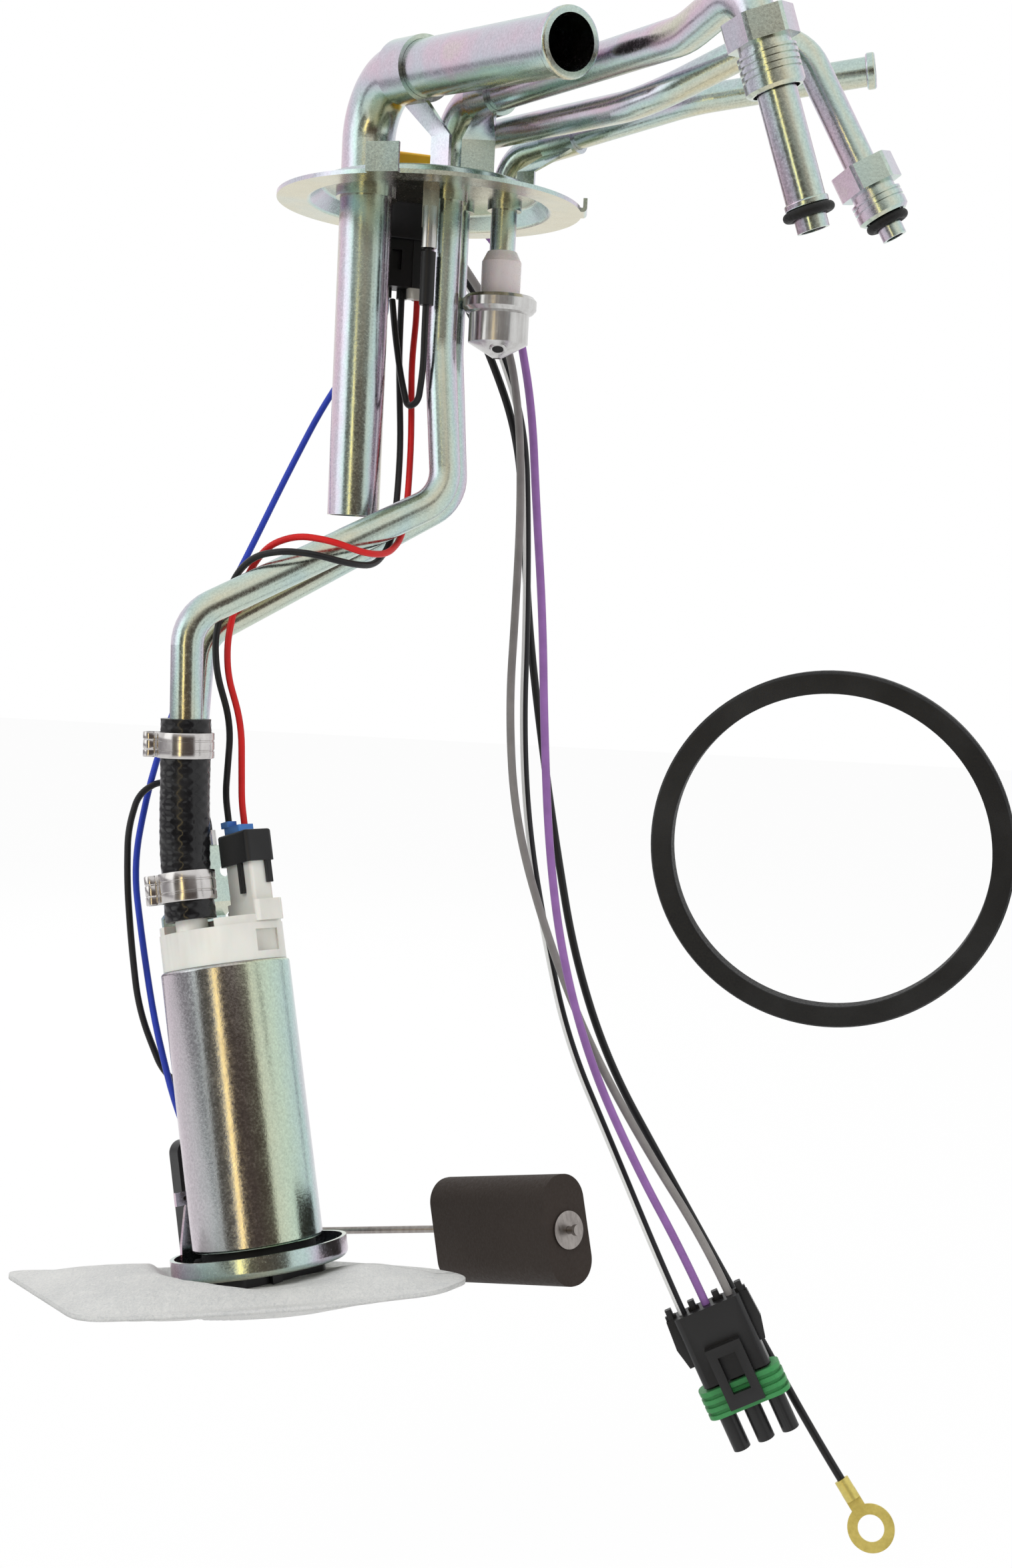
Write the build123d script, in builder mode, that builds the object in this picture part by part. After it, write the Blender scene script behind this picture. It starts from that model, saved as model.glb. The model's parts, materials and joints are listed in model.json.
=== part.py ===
from build123d import *
import os
from math import cos, radians, sin, tan

# Fuel pump module: a pressed steel flange that closes the tank opening, four steel tubes through it,
# an electric pump hung from the supply tube by a short hose, a level sender with its float, and a
# strainer sock under the pump. Millimetres. +Z is up along the flange axis, the origin is the centre
# of the face that seats on the tank, and -Y is the side that carries the tank lines.

os.makedirs("parts", exist_ok=True)

# Flange
sheet = 1.2
rim_radius = 45.5
dish_radius = 36.0
crown_radius = 32.0
crown_height = 4.5
crown_top = crown_height + sheet
tab_width = 9.4
tab_height = 8.0
side_tab_height = 4.0
tab_reach = 1.6
braze_height = 1.8
braze_width = 1.3
fit_gap = 0.05

# Tubes
vent_od = 15.9
vent_wall = 0.9
supply_od = 9.5
return_od = 7.9
evap_od = 7.9
line_wall = 0.9
bead_height = 0.9
bead_length = 2.6
vent_bend = 17.0
line_bend = 13.0
small_bend = 11.0
long_bend = 30.0
tight_bend = 8.5

# Line fittings
supply_hex = 15.5
supply_thread = 14.2
return_hex = 14.3
return_thread = 12.7
hex_length = 6.5
supply_thread_length = 11.0
return_thread_length = 7.5
thread_pitch = 1.5
nut_gap = 0.65
pilot_length = 5.5
pilot_step = 0.9
shoulder = 1.6
shoulder_height = 0.5
o_ring_section = 2.3

# Fuel pump
can_radius = 19.0
can_wall = 1.2
can_length = 81.3
cap_radius = 18.2
cap_height = 13.2
shaft_radius = 2.5
journal_gap = 0.05
armature_radius = 13.0
armature_length = can_length - 47.3
magnet_thickness = 3.4
air_gap = 0.6
impeller_radius = 15.0
impeller_thickness = 4.0
impeller_vanes = 36
hose_od = 15.0
hose_wall = 2.7
inlet_bore = 3.4
inlet_reach = 4.0

# Bracket, tray and strainer
tray_radius = 25.7
tray_depth = 6.0
tray_floor = -7.0
strap_half_width = 8.0
rubber_radius = 16.6
strap_top = can_length + 15.7
plate_top = strap_top + 22.0
side_gap = 0.3

# Sender
float_length = 53.0
float_height = 31.6
float_width = 15.6
arm_wire = 2.2
arm_reach = 61.9
float_level = -7.4
float_start = 13.0

# Wiring
lead_radius = 1.35
wire_radius = 1.0

# Tank seal
seal_radius = 45.5
seal_width = 5.6
seal_bore = seal_radius - seal_width
seal_height = 4.6

# Places on the flange, in plan
vent_place = (-19.5, 5.0)
supply_place = (5.0, 4.0)
return_place = (7.6, 18.0)
evap_place = (22.2, 12.5)
bulkhead_place = (-8.5, 21.8)

# The pump stands at a slant: its own plane has +Z along the can and +Y towards the strap behind it
pump = Plane(
    origin=(-33.4, -47.3, -305.2),
    x_dir=(0.757, 0.654, -0.0085),
    z_dir=(-15.3, 18.7, 77.6),
)
outlet_place = (-12.7, -5.1)
tower_place = (5.5, -10.0)
relief_place = (8.0, 3.0)
terminal_place = (7.0, 11.6)


def at_pump(x, y, z):
    """Point given in the pump's own plane."""
    return pump.from_local_coords(Vector(x, y, z))


def bent(points, radii):
    """Wire of straight runs joined by tangent arcs, one radius for each inner point."""
    with BuildLine() as route:
        FilletPolyline(*points, radius=radii)
    return route.wire()


def across(route, distance=0.0):
    """Plane square to a route at a share of its length."""
    return Plane(origin=route @ distance, z_dir=route % distance)


def ring(plane, outer, inner=0.0):
    """Round face, with a hole in it where an inner radius is given."""
    with BuildSketch(plane) as face:
        Circle(outer)
        if inner > 0:
            Circle(inner, mode=Mode.SUBTRACT)
    return face.sketch


def pipe(route, outer, inner=0.0):
    """Tube, or rod, of one section along a route."""
    with BuildPart() as tube:
        sweep(sections=ring(across(route), outer, inner), path=route)
    return tube.part


def bead(plane, outer, inner, place):
    """Rolled bead of a tube end, its middle at a height on the plane."""
    with BuildPart() as roll:
        extrude(ring(plane.offset(place - bead_length / 2), outer + bead_height, inner), amount=bead_length)
        rims = roll.edges().filter_by(GeomType.CIRCLE).sort_by(SortBy.RADIUS)[-2:]
        fillet(rims, bead_height * 0.8)
    return roll.part


def pilot(plane, tube_radius):
    """End of a line: a shoulder, and past it a narrower spigot that carries the rubber ring."""
    spigot = tube_radius - pilot_step
    with BuildPart() as end:
        extrude(ring(plane.offset(-pilot_length), spigot, spigot - line_wall), amount=pilot_length)
        extrude(ring(plane.offset(-pilot_length - shoulder), tube_radius + shoulder_height, spigot - line_wall),
                amount=shoulder)
        rims = end.edges().filter_by(GeomType.CIRCLE).sort_by(SortBy.RADIUS)[-2:]
        fillet(rims, 0.4)
    return end.part


def limp_radii(points):
    """Bend radii of a cord: each as large as its two runs allow."""
    radii = []
    for before, here, after in zip(points, points[1:], points[2:]):
        first = Vector(*here) - Vector(*before)
        second = Vector(*after) - Vector(*here)
        half_turn = radians(first.get_angle(second)) / 2
        radii.append(0.45 * min(first.length, second.length) / tan(half_turn))
    return radii


def cord(name, points, radius):
    """Round cord through hand-chosen points; prints its bend radii and its length."""
    radii = limp_radii(points)
    route = bent(points, radii)
    rod = pipe(route, radius)
    section = 3.14159 * radius**2
    print(name, "radii", [round(r, 1) for r in radii], "length", round(route.length, 1), end=" ")
    print("volume over section and length", round(rod.volume / (section * route.length), 3))
    return rod


def turned(x, y, angle):
    """Level plane at a place on the flange crown, turned about the flange axis."""
    a = radians(angle)
    return Plane(origin=(x, y, crown_top), x_dir=(cos(a), sin(a), 0), z_dir=(0, 0, 1))


# Routes of the four steel tubes
vent_route = bent(
    [(*vent_place, -92), (*vent_place, 38), (38.6, -81.6, 26.1)],
    [vent_bend],
)
supply_corner = Vector(-63, -30, -125)
hose_bend_point = at_pump(*outlet_place, can_length + 32.7)
supply_end = supply_corner + (hose_bend_point - supply_corner).normalized() * 50
supply_route = bent(
    [
        supply_end,
        supply_corner,
        (9, -1.5, -85),
        (*supply_place, -40),
        (*supply_place, 30),
        (66.0, -97.7, 24.6),
        (77.8, -120.6, 30.0),
        (97.2, -118.4, -24.3),
    ],
    [line_bend, line_bend, long_bend, line_bend, long_bend, tight_bend],
)
return_route = bent(
    [
        at_pump(-3.5, 7.0, plate_top - 18.0),
        at_pump(-3.5, 7.0, plate_top + 5.0),
        (-62, -9, -131),
        (11.4, 12, -85.5),
        (*return_place, -40),
        (*return_place, 24),
        (58.5, -72.0, 14.8),
        (93.2, -90.2, 30.0),
        (121.2, -93.7, -20.0),
    ],
    [long_bend, line_bend, line_bend, long_bend, line_bend, long_bend, line_bend],
)
evap_route = bent(
    [(*evap_place, -15), (*evap_place, 18.8), (75.0, -25.5, 28.3), (123.6, -37.2, 35.8)],
    [small_bend, long_bend],
)
hose_route = bent(
    [supply_corner + (hose_bend_point - supply_corner) * 0.42, hose_bend_point, at_pump(*outlet_place, can_length + 13.9)],
    [40.0],
)

# Flange: a dished disc with a raised crown, pierced for the tubes, with two upturned tabs on its rim
with BuildPart() as flange_plate:
    with BuildSketch(Plane.XZ) as flange_section:
        with BuildLine():
            Polyline(
                (0, crown_height),
                (crown_radius, crown_height),
                (dish_radius, 0),
                (rim_radius, 0),
                (rim_radius, sheet),
                (dish_radius + sheet / 2, sheet),
                (crown_radius + sheet / 2, crown_top),
                (0, crown_top),
                close=True,
            )
        make_face()
        shoulders = [v for v in flange_section.vertices() if sheet < v.center().X * 1.0 < rim_radius - 1]
        fillet(shoulders, 1.6)
    revolve(axis=Axis.Z)
    for angle, height in ((-103.5, tab_height), (-2.0, side_tab_height)):
        outward = Vector(cos(radians(angle)), sin(radians(angle)), 0)
        upright = Plane(origin=(0, 0, 0), x_dir=outward, z_dir=outward.cross(Vector(0, 0, 1)))
        with BuildSketch(upright) as tab_section:
            with BuildLine():
                Polyline(
                    (rim_radius - 2, 0),
                    (rim_radius + tab_reach, 0),
                    (rim_radius + tab_reach, height),
                    (rim_radius + tab_reach - sheet, height),
                    (rim_radius + tab_reach - sheet, sheet),
                    (rim_radius - 2, sheet),
                    close=True,
                )
            make_face()
            corner = tab_section.vertices().sort_by_distance(upright.from_local_coords((rim_radius + tab_reach, 0)))[0]
            fillet(corner, sheet)
        extrude(amount=tab_width / 2, both=True)
    for place, diameter in (
        (vent_place, vent_od),
        (supply_place, supply_od),
        (return_place, return_od),
        (evap_place, evap_od),
    ):
        with BuildSketch(Plane.XY.offset(crown_height - braze_height)):
            with Locations(place):
                Circle(diameter / 2 + braze_width)
        extrude(amount=braze_height + sheet / 2)
        with BuildSketch(Plane.XY.offset(-1)):
            with Locations(place):
                Circle(diameter / 2 + fit_gap)
        extrude(amount=crown_top + 2, mode=Mode.SUBTRACT)
    with BuildSketch(turned(*bulkhead_place, 18)):
        SlotOverall(22.2, 12.2)
    extrude(amount=-crown_top, mode=Mode.SUBTRACT)

# Vent tube: the widest line, with a tight elbow above the flange and a rolled end for its hose
with BuildPart() as vent_tube:
    add(pipe(vent_route, vent_od / 2, vent_od / 2 - vent_wall))
    vent_end = across(vent_route, 1)
    add(bead(vent_end, vent_od / 2, vent_od / 2 - vent_wall, -bead_length / 2))

# Supply tube: from the hose up to the flange, then out to the engine line
with BuildPart() as supply_tube:
    add(pipe(supply_route, supply_od / 2, supply_od / 2 - line_wall))
    supply_tip = across(supply_route, 1)
    extrude(ring(supply_tip.offset(-pilot_length), supply_od), amount=pilot_length + 1, mode=Mode.SUBTRACT)
    add(pilot(supply_tip, supply_od / 2))

# Return tube: ends on the strap behind the hose, which it carries
with BuildPart() as return_tube:
    add(pipe(return_route, return_od / 2, return_od / 2 - line_wall))
    return_tip = across(return_route, 1)
    extrude(ring(return_tip.offset(-pilot_length), return_od), amount=pilot_length + 1, mode=Mode.SUBTRACT)
    add(pilot(return_tip, return_od / 2))

# Small vent tube, from the roll-over valve to the vapour line
with BuildPart() as evap_tube:
    add(pipe(evap_route, evap_od / 2, evap_od / 2 - line_wall))
    evap_end = across(evap_route, 1)
    add(bead(evap_end, evap_od / 2, evap_od / 2 - line_wall, -bead_length / 2))


def threaded_nut(plane, flats, thread, thread_length, bore):
    """Male tube nut: hexagon above, thread as ring grooves below, bored through, with a seat for the shoulder."""
    with BuildPart() as nut:
        with BuildSketch(plane):
            RegularPolygon(flats / 2, 6, major_radius=False)
        extrude(amount=-hex_length)
        with BuildSketch(plane.offset(hex_length / 2)):
            Circle(flats * 0.56)
        hexagon = nut.part
        extrude(ring(plane, flats * 0.557), amount=-hex_length, mode=Mode.INTERSECT)
        extrude(ring(plane, thread / 2 - 0.9), amount=2.0)
        extrude(ring(plane.offset(2.0), thread / 2), amount=thread_length - 2.0)
        turns = int((thread_length - 4.5) / thread_pitch)
        for turn in range(turns):
            height = 2.6 + turn * thread_pitch
            extrude(
                ring(plane.offset(height), thread / 2 + 0.1, thread / 2 - 0.55),
                amount=0.6,
                mode=Mode.SUBTRACT,
            )
        tip = nut.edges().filter_by(GeomType.CIRCLE).sort_by_distance(plane.offset(thread_length).origin)[0]
        chamfer(tip, 0.8)
        extrude(ring(plane.offset(-hex_length - 1), bore), amount=hex_length + thread_length + 2, mode=Mode.SUBTRACT)
        seat = plane.offset(thread_length - shoulder - 0.4)
        extrude(ring(seat, bore - nut_gap + shoulder_height + 0.35), amount=shoulder + 1.4, mode=Mode.SUBTRACT)
    return nut.part


# Line nuts, free on their tubes between the bend and the bead
supply_nut_plane = across(supply_route, 1).offset(-43.6)
return_nut_plane = across(return_route, 1).offset(-pilot_length - return_thread_length)
with BuildPart() as supply_nut:
    add(threaded_nut(supply_nut_plane, supply_hex, supply_thread, supply_thread_length, supply_od / 2 + nut_gap))

with BuildPart() as return_nut:
    add(threaded_nut(return_nut_plane, return_hex, return_thread, return_thread_length, return_od / 2 + nut_gap))


def o_ring(plane, tube_radius, place):
    """Rubber ring round a tube end, below its bead."""
    middle = tube_radius + o_ring_section / 2 + fit_gap
    seat = plane.offset(place)
    with BuildPart() as rubber:
        with BuildSketch(Plane(origin=seat.origin, x_dir=seat.x_dir, z_dir=seat.y_dir)):
            with Locations((middle, 0)):
                Circle(o_ring_section / 2)
        revolve(axis=Axis(seat.origin, seat.z_dir))
    return rubber.part


with BuildPart() as supply_o_ring:
    add(o_ring(supply_tip, supply_od / 2 - pilot_step, -pilot_length + o_ring_section / 2 + 0.05))

with BuildPart() as return_o_ring:
    add(o_ring(return_tip, return_od / 2 - pilot_step, -pilot_length + o_ring_section / 2 + 0.05))


def strap_clip(route, from_end, tube_radius, width, foot, foot_angle, foot_width):
    """Steel clip: a collar round a tube, and a leg from it down to a foot on the crown."""
    collar_plane = across(route, 1 - from_end / route.length)
    inner = tube_radius + fit_gap
    outer = inner + sheet
    with BuildPart() as clip:
        extrude(ring(collar_plane, outer, inner), amount=width / 2, both=True)
        foot_plane = turned(*foot, foot_angle)
        axis_point = collar_plane.origin
        side = foot_plane.origin - axis_point
        along = collar_plane.z_dir
        drop = (side - along * side.dot(along)).normalized()
        start = Plane(origin=axis_point + drop * (inner + sheet / 2), x_dir=along, z_dir=drop)
        middle_height = (start.origin.Z - crown_top) * 0.5
        with BuildSketch(start):
            Rectangle(width, sheet)
        with BuildSketch(Plane(origin=foot_plane.origin + Vector(0, 0, middle_height), x_dir=foot_plane.x_dir,
                               z_dir=-foot_plane.z_dir)):
            Rectangle(foot_width, sheet)
        loft()
        with BuildSketch(foot_plane):
            Rectangle(foot_width, sheet)
        extrude(amount=middle_height)
        extrude(ring(collar_plane.offset(-width), inner), amount=width * 2, mode=Mode.SUBTRACT)
    return clip.part


# Clips that brace the lines above the crown
with BuildPart() as vent_bracket:
    add(strap_clip(vent_route, 79.0, vent_od / 2, 13.0, (3.7, -21.0), -35, 6.5))

with BuildPart() as line_bracket:
    add(strap_clip(supply_route, 175.0, supply_od / 2, 11.5, (14.5, -24.0), 0, 9.5))

with BuildPart() as evap_bracket:
    add(strap_clip(evap_route, 95.5, evap_od / 2, 11.0, (28.4, -1.5), -20, 5.4))

# Bulkhead connector: the moulded plug that carries the wires through the crown
bulkhead = turned(*bulkhead_place, 18)
with BuildPart() as bulkhead_connector:
    with BuildSketch(bulkhead):
        SlotOverall(25.0, 14.4)
    extrude(amount=3.0)
    with BuildSketch(bulkhead.offset(3.0)):
        RectangleRounded(22.0, 12.0, 2.0)
    extrude(amount=11.0)
    with BuildSketch(bulkhead.offset(3.0)):
        with Locations((0, 8.0)):
            RectangleRounded(15.0, 7.0, 1.5)
    extrude(amount=7.0)
    with BuildSketch(bulkhead):
        SlotOverall(22.0, 12.0)
    extrude(amount=-crown_top - 3.5)
    fillet(bulkhead_connector.faces().sort_by(Axis.Z)[-1].edges(), 1.0)

# Plug of the sender wires, pushed onto the bulkhead from below, with its lock and its seal
plug_height = 17.0
plug_top = -3.6
plug_plane = bulkhead.offset(plug_top - crown_top)
with BuildPart() as sender_plug:
    with BuildSketch(plug_plane):
        RectangleRounded(17.0, 10.0, 1.0)
    extrude(amount=-plug_height)
    with BuildSketch(plug_plane.offset(-plug_height)):
        with Locations((4.0, -4.4)):
            Rectangle(5.0, 2.0)
    extrude(amount=plug_height - 2)
    for offset_x in (-5.0, 0.0, 5.0):
        with BuildSketch(plug_plane.offset(-plug_height)):
            with Locations((offset_x, 1.0)):
                Circle(1.7)
        extrude(amount=-3.0)
    latch_window = Plane(origin=plug_plane.from_local_coords((-3.5, -5.0, -9.0)), x_dir=plug_plane.x_dir,
                         z_dir=-plug_plane.y_dir)
    with BuildSketch(latch_window):
        Rectangle(3.0, 6.0)
    extrude(amount=-2.0, mode=Mode.SUBTRACT)

with BuildPart() as sender_plug_lock:
    with BuildSketch(plug_plane.offset(-plug_height - 0.1)) as lock_outline:
        with Locations((4.0, -3.0)):
            RectangleRounded(6.5, 3.6, 0.8)
    extrude(amount=-3.2)

# Roll-over valve on the lower end of the small vent tube
valve_axis = Plane(origin=(*evap_place, 0))
with BuildPart() as valve_body:
    with BuildSketch(Plane(origin=(*evap_place, 0), x_dir=(1, 0, 0), z_dir=(0, -1, 0))):
        with BuildLine():
            Polyline(
                (evap_od / 2 + fit_gap, -9.5),
                (evap_od / 2 + 0.6, -9.5),
                (6.1, -12.6),
                (6.1, -24.0),
                (8.6, -24.0),
                (8.6, -26.2),
                (7.2, -26.2),
                (7.2, -35.2),
                (6.2, -35.2),
                (6.2, -26.2),
                (2.2, -26.2),
                (2.2, -15.4),
                (evap_od / 2 + fit_gap, -15.4),
                close=True,
            )
        make_face()
    revolve(axis=Axis((*evap_place, 0), (0, 0, 1)))

with BuildPart() as valve_cup:
    with BuildSketch(Plane(origin=(*evap_place, 0), x_dir=(1, 0, 0), z_dir=(0, -1, 0))) as cup_section:
        with BuildLine():
            Polyline(
                (6.4, -22.9),
                (10.4, -22.9),
                (11.4, -24.0),
                (11.4, -26.6),
                (10.4, -27.8),
                (9.25, -28.4),
                (9.25, -37.0),
                (1.3, -41.5),
                (1.3, -40.6),
                (8.65, -36.6),
                (8.65, -27.9),
                (9.7, -27.4),
                (10.7, -26.4),
                (10.7, -24.3),
                (10.1, -23.6),
                (6.4, -23.6),
                close=True,
            )
        make_face()
    revolve(axis=Axis((*evap_place, 0), (0, 0, 1)))

ball_radius = 4.6
ball_height = -36.03
with BuildPart() as valve_ball:
    with Locations((*evap_place, ball_height)):
        Sphere(ball_radius)

# Earth tag under the crown, and the sleeved wire that drops from it to the sender plug
tag_place = (0.6, -4.6)
with BuildPart() as ground_terminal:
    with BuildSketch(Plane.XY.offset(crown_height)):
        with Locations(tag_place):
            Rectangle(4.8, 1.0)
    extrude(amount=-11.0)
    with BuildSketch(Plane.XY.offset(crown_height - 5.0)):
        with Locations(tag_place):
            Circle(2.3)
            Circle(1.45, mode=Mode.SUBTRACT)
    extrude(amount=-12.0)

flange_ground_points = [
    (0.6, -4.6, -8.0),
    (0.6, -4.6, -19.0),
    (0.4, -4.0, -33.0),
    (0.4, -2.0, -47.0),
    (-0.8, 0.5, -57.0),
    (-4.2, 4.5, -58.5),
    (-7.0, 9.5, -49.0),
    (-9.6, 14.5, -36.0),
    (-11.4, 19.0, -24.5),
]
with BuildPart() as flange_ground_wire:
    add(cord("flange_ground_wire", flange_ground_points, wire_radius))
    with BuildSketch(Plane.XY.offset(-29.0)):
        with Locations((0.55, -4.2)):
            Circle(2.2)
    extrude(amount=15.5)

# Hose from the pump to the supply tube, held by two ear clamps
with BuildPart() as fuel_hose:
    add(pipe(hose_route, hose_od / 2, hose_od / 2 - hose_wall))


def ear_clamp(share, band):
    """Stainless band round the hose with a pinched ear on its left."""
    seat = Plane(origin=hose_route @ share, x_dir=(-1, 0.1, 0), z_dir=hose_route % share)
    inner = hose_od / 2 + fit_gap
    with BuildPart() as clamp:
        extrude(ring(seat, inner + 0.7, inner), amount=band / 2, both=True)
        with BuildSketch(seat):
            with Locations((inner + 2.4, 0)):
                Rectangle(5.0, 3.4)
            with Locations((inner + 2.6, 0)):
                Rectangle(3.2, 1.8, mode=Mode.SUBTRACT)
            Circle(inner, mode=Mode.SUBTRACT)
        extrude(amount=band / 2, both=True)
        ear_edges = clamp.edges().filter_by(Axis(seat.origin, seat.z_dir)).sort_by_distance(
            seat.from_local_coords((inner + 6.0, 0, 0)))[0:2]
        fillet(ear_edges, 0.7)
    return clamp.part


with BuildPart() as upper_hose_clamp:
    add(ear_clamp(0.13, 7.4))

with BuildPart() as lower_hose_clamp:
    add(ear_clamp(0.83, 8.6))

# Pump can: a drawn steel tube with both ends rolled in
section_plane = Plane(origin=pump.origin, x_dir=pump.x_dir, z_dir=-pump.y_dir)
pump_axis = Axis(pump.origin, pump.z_dir)
with BuildPart() as pump_can:
    with BuildSketch(section_plane) as can_section:
        with BuildLine():
            Polyline(
                (can_radius - 3.2, 0),
                (can_radius, 0),
                (can_radius, can_length),
                (can_radius - 2.2, can_length),
                (can_radius - 2.2, can_length - can_wall),
                (can_radius - can_wall, can_length - can_wall),
                (can_radius - can_wall, can_wall),
                (can_radius - 3.2, can_wall),
                close=True,
            )
        make_face()
    revolve(axis=pump_axis)
    outer_rims = pump_can.edges().filter_by(GeomType.CIRCLE).group_by(SortBy.RADIUS)[-1]
    fillet(outer_rims, 1.0)

# Pump internals: magnets, armature on its shaft, impeller between its chamber and the inlet cover
bore_radius = can_radius - can_wall - fit_gap
cover_top = 9.0
chamber_top = 20.0
bearing_height = can_length - 10.0
with BuildPart() as inlet_cover:
    extrude(ring(pump.offset(can_wall + 0.05), bore_radius, shaft_radius + journal_gap), amount=cover_top - can_wall)
    extrude(ring(pump.offset(-inlet_reach), 7.0, inlet_bore), amount=inlet_reach + can_wall + 0.1)
    with BuildSketch(pump.offset(can_wall)):
        with Locations((11.5, 0)):
            Circle(2.2)
    extrude(amount=cover_top, mode=Mode.SUBTRACT)

with BuildPart() as impeller:
    impeller_plane = pump.offset(cover_top + 0.35)
    with BuildSketch(impeller_plane):
        Circle(impeller_radius)
        with PolarLocations(impeller_radius, impeller_vanes):
            Rectangle(3.6, 1.3, mode=Mode.SUBTRACT)
        Circle(shaft_radius, mode=Mode.SUBTRACT)
    extrude(amount=impeller_thickness)

with BuildPart() as pump_chamber:
    chamber_plane = pump.offset(cover_top + 0.1)
    extrude(ring(chamber_plane, bore_radius), amount=chamber_top - cover_top - 0.1)
    extrude(ring(chamber_plane, impeller_radius + 0.5), amount=impeller_thickness + 0.5, mode=Mode.SUBTRACT)
    extrude(ring(chamber_plane, shaft_radius + journal_gap), amount=chamber_top, mode=Mode.SUBTRACT)
    with BuildSketch(chamber_plane):
        with Locations((11.5, 0)):
            Circle(2.2)
    extrude(amount=chamber_top, mode=Mode.SUBTRACT)

with BuildPart() as rotor_shaft:
    extrude(ring(pump.offset(can_wall + 1.6), shaft_radius), amount=can_length - 9.0)

armature_start = chamber_top + 3.0
with BuildPart() as armature:
    with BuildSketch(pump.offset(armature_start)):
        Circle(armature_radius)
        with PolarLocations(armature_radius - 1.5, 8):
            Rectangle(3.6, 1.6, mode=Mode.SUBTRACT)
        with PolarLocations(armature_radius - 5.0, 8):
            Rectangle(4.4, 3.0, mode=Mode.SUBTRACT)
        Circle(shaft_radius, mode=Mode.SUBTRACT)
    extrude(amount=armature_length)
    extrude(ring(pump.offset(armature_start + armature_length), 8.5, shaft_radius), amount=6.0)

with BuildPart() as field_magnets:
    magnet_inner = armature_radius + air_gap
    with BuildSketch(pump.offset(armature_start)):
        Circle(magnet_inner + magnet_thickness)
        Circle(magnet_inner, mode=Mode.SUBTRACT)
        Rectangle(3 * can_radius, 5.0, mode=Mode.SUBTRACT)
    extrude(amount=armature_length)

brush_height = armature_start + armature_length + 6.2
with BuildPart() as brushes:
    with BuildSketch(pump.offset(brush_height)):
        with PolarLocations(5.6, 2):
            Rectangle(4.4, 3.4)
    extrude(amount=4.6)

# Pump cap: the moulded outlet end, with the hose nipple, a relief valve and the connector tower
cap_base = can_length + 0.05
cap_top = cap_base + cap_height
tower_size = (7.0, 14.0)
tower_rise = 18.95
tower_top = cap_top + tower_rise
with BuildPart() as pump_cap:
    extrude(ring(pump.offset(bearing_height), bore_radius, shaft_radius + journal_gap),
            amount=can_length - can_wall - 0.1 - bearing_height)
    extrude(ring(pump.offset(bearing_height + 5.0), can_radius - 2.3), amount=cap_base - bearing_height - 4.9)
    extrude(ring(pump.offset(cap_base), cap_radius), amount=cap_height - 2.4)
    with BuildSketch(pump.offset(cap_top - 2.4)):
        Circle(cap_radius - 0.3)
        with Locations((outlet_place[0] - 2.0, outlet_place[1] - 1.0)):
            Circle(9.0, mode=Mode.SUBTRACT)
    extrude(amount=2.4)
    with BuildSketch(pump.offset(cap_top - 2.4)):
        with Locations(outlet_place):
            Circle(4.7)
    extrude(amount=2.4 + 8.5)
    with BuildSketch(pump.offset(cap_top - 2.0)):
        with Locations((tower_place[0] + 0.5, tower_place[1] - 0.5)):
            RectangleRounded(9.6, 16.4, 1.5)
    extrude(amount=6.2)
    with BuildSketch(pump.offset(cap_top)):
        with Locations(tower_place):
            RectangleRounded(*tower_size, 1.2)
    extrude(amount=tower_top - cap_top)
    with BuildSketch(pump.offset(tower_top - 8.0)):
        with Locations(tower_place):
            RectangleRounded(tower_size[0] - 2.0, tower_size[1] - 2.0, 0.8)
    extrude(amount=8.1, mode=Mode.SUBTRACT)
    with BuildSketch(pump.offset(bearing_height - 1)):
        with Locations(outlet_place):
            Circle(2.6)
    extrude(amount=60, mode=Mode.SUBTRACT)
    with BuildSketch(pump.offset(bearing_height - 1)):
        Circle(shaft_radius + journal_gap)
    extrude(amount=7.0, mode=Mode.SUBTRACT)
    with BuildSketch(pump.offset(bearing_height - 1)):
        with PolarLocations(5.6, 2):
            Rectangle(4.7, 3.7)
    extrude(amount=5.0, mode=Mode.SUBTRACT)
    with BuildSketch(pump.offset(cap_top - 6.0)):
        with Locations(relief_place):
            Circle(2.75)
    extrude(amount=7.0, mode=Mode.SUBTRACT)
    window = Plane(origin=at_pump(5.0, -cap_radius - 1.0, cap_base + 5.6), x_dir=pump.x_dir, z_dir=pump.y_dir)
    with BuildSketch(window):
        Rectangle(9.0, 6.4)
    extrude(amount=4.5, mode=Mode.SUBTRACT)

with BuildPart() as relief_valve:
    with BuildSketch(pump.offset(cap_top - 5.9)):
        with Locations(relief_place):
            Circle(2.7)
    extrude(amount=8.6)
    fillet(relief_valve.edges().filter_by(GeomType.CIRCLE), 0.4)

poppet_radius = 2.5
with BuildPart() as outlet_valve:
    with BuildSketch(pump.offset(cap_top - 3.0)):
        with Locations(outlet_place):
            Circle(poppet_radius)
    extrude(amount=2.0)
    with BuildSketch(pump.offset(cap_top - 1.2)):
        with Locations(outlet_place):
            Circle(1.1)
    extrude(amount=6.0)

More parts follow.
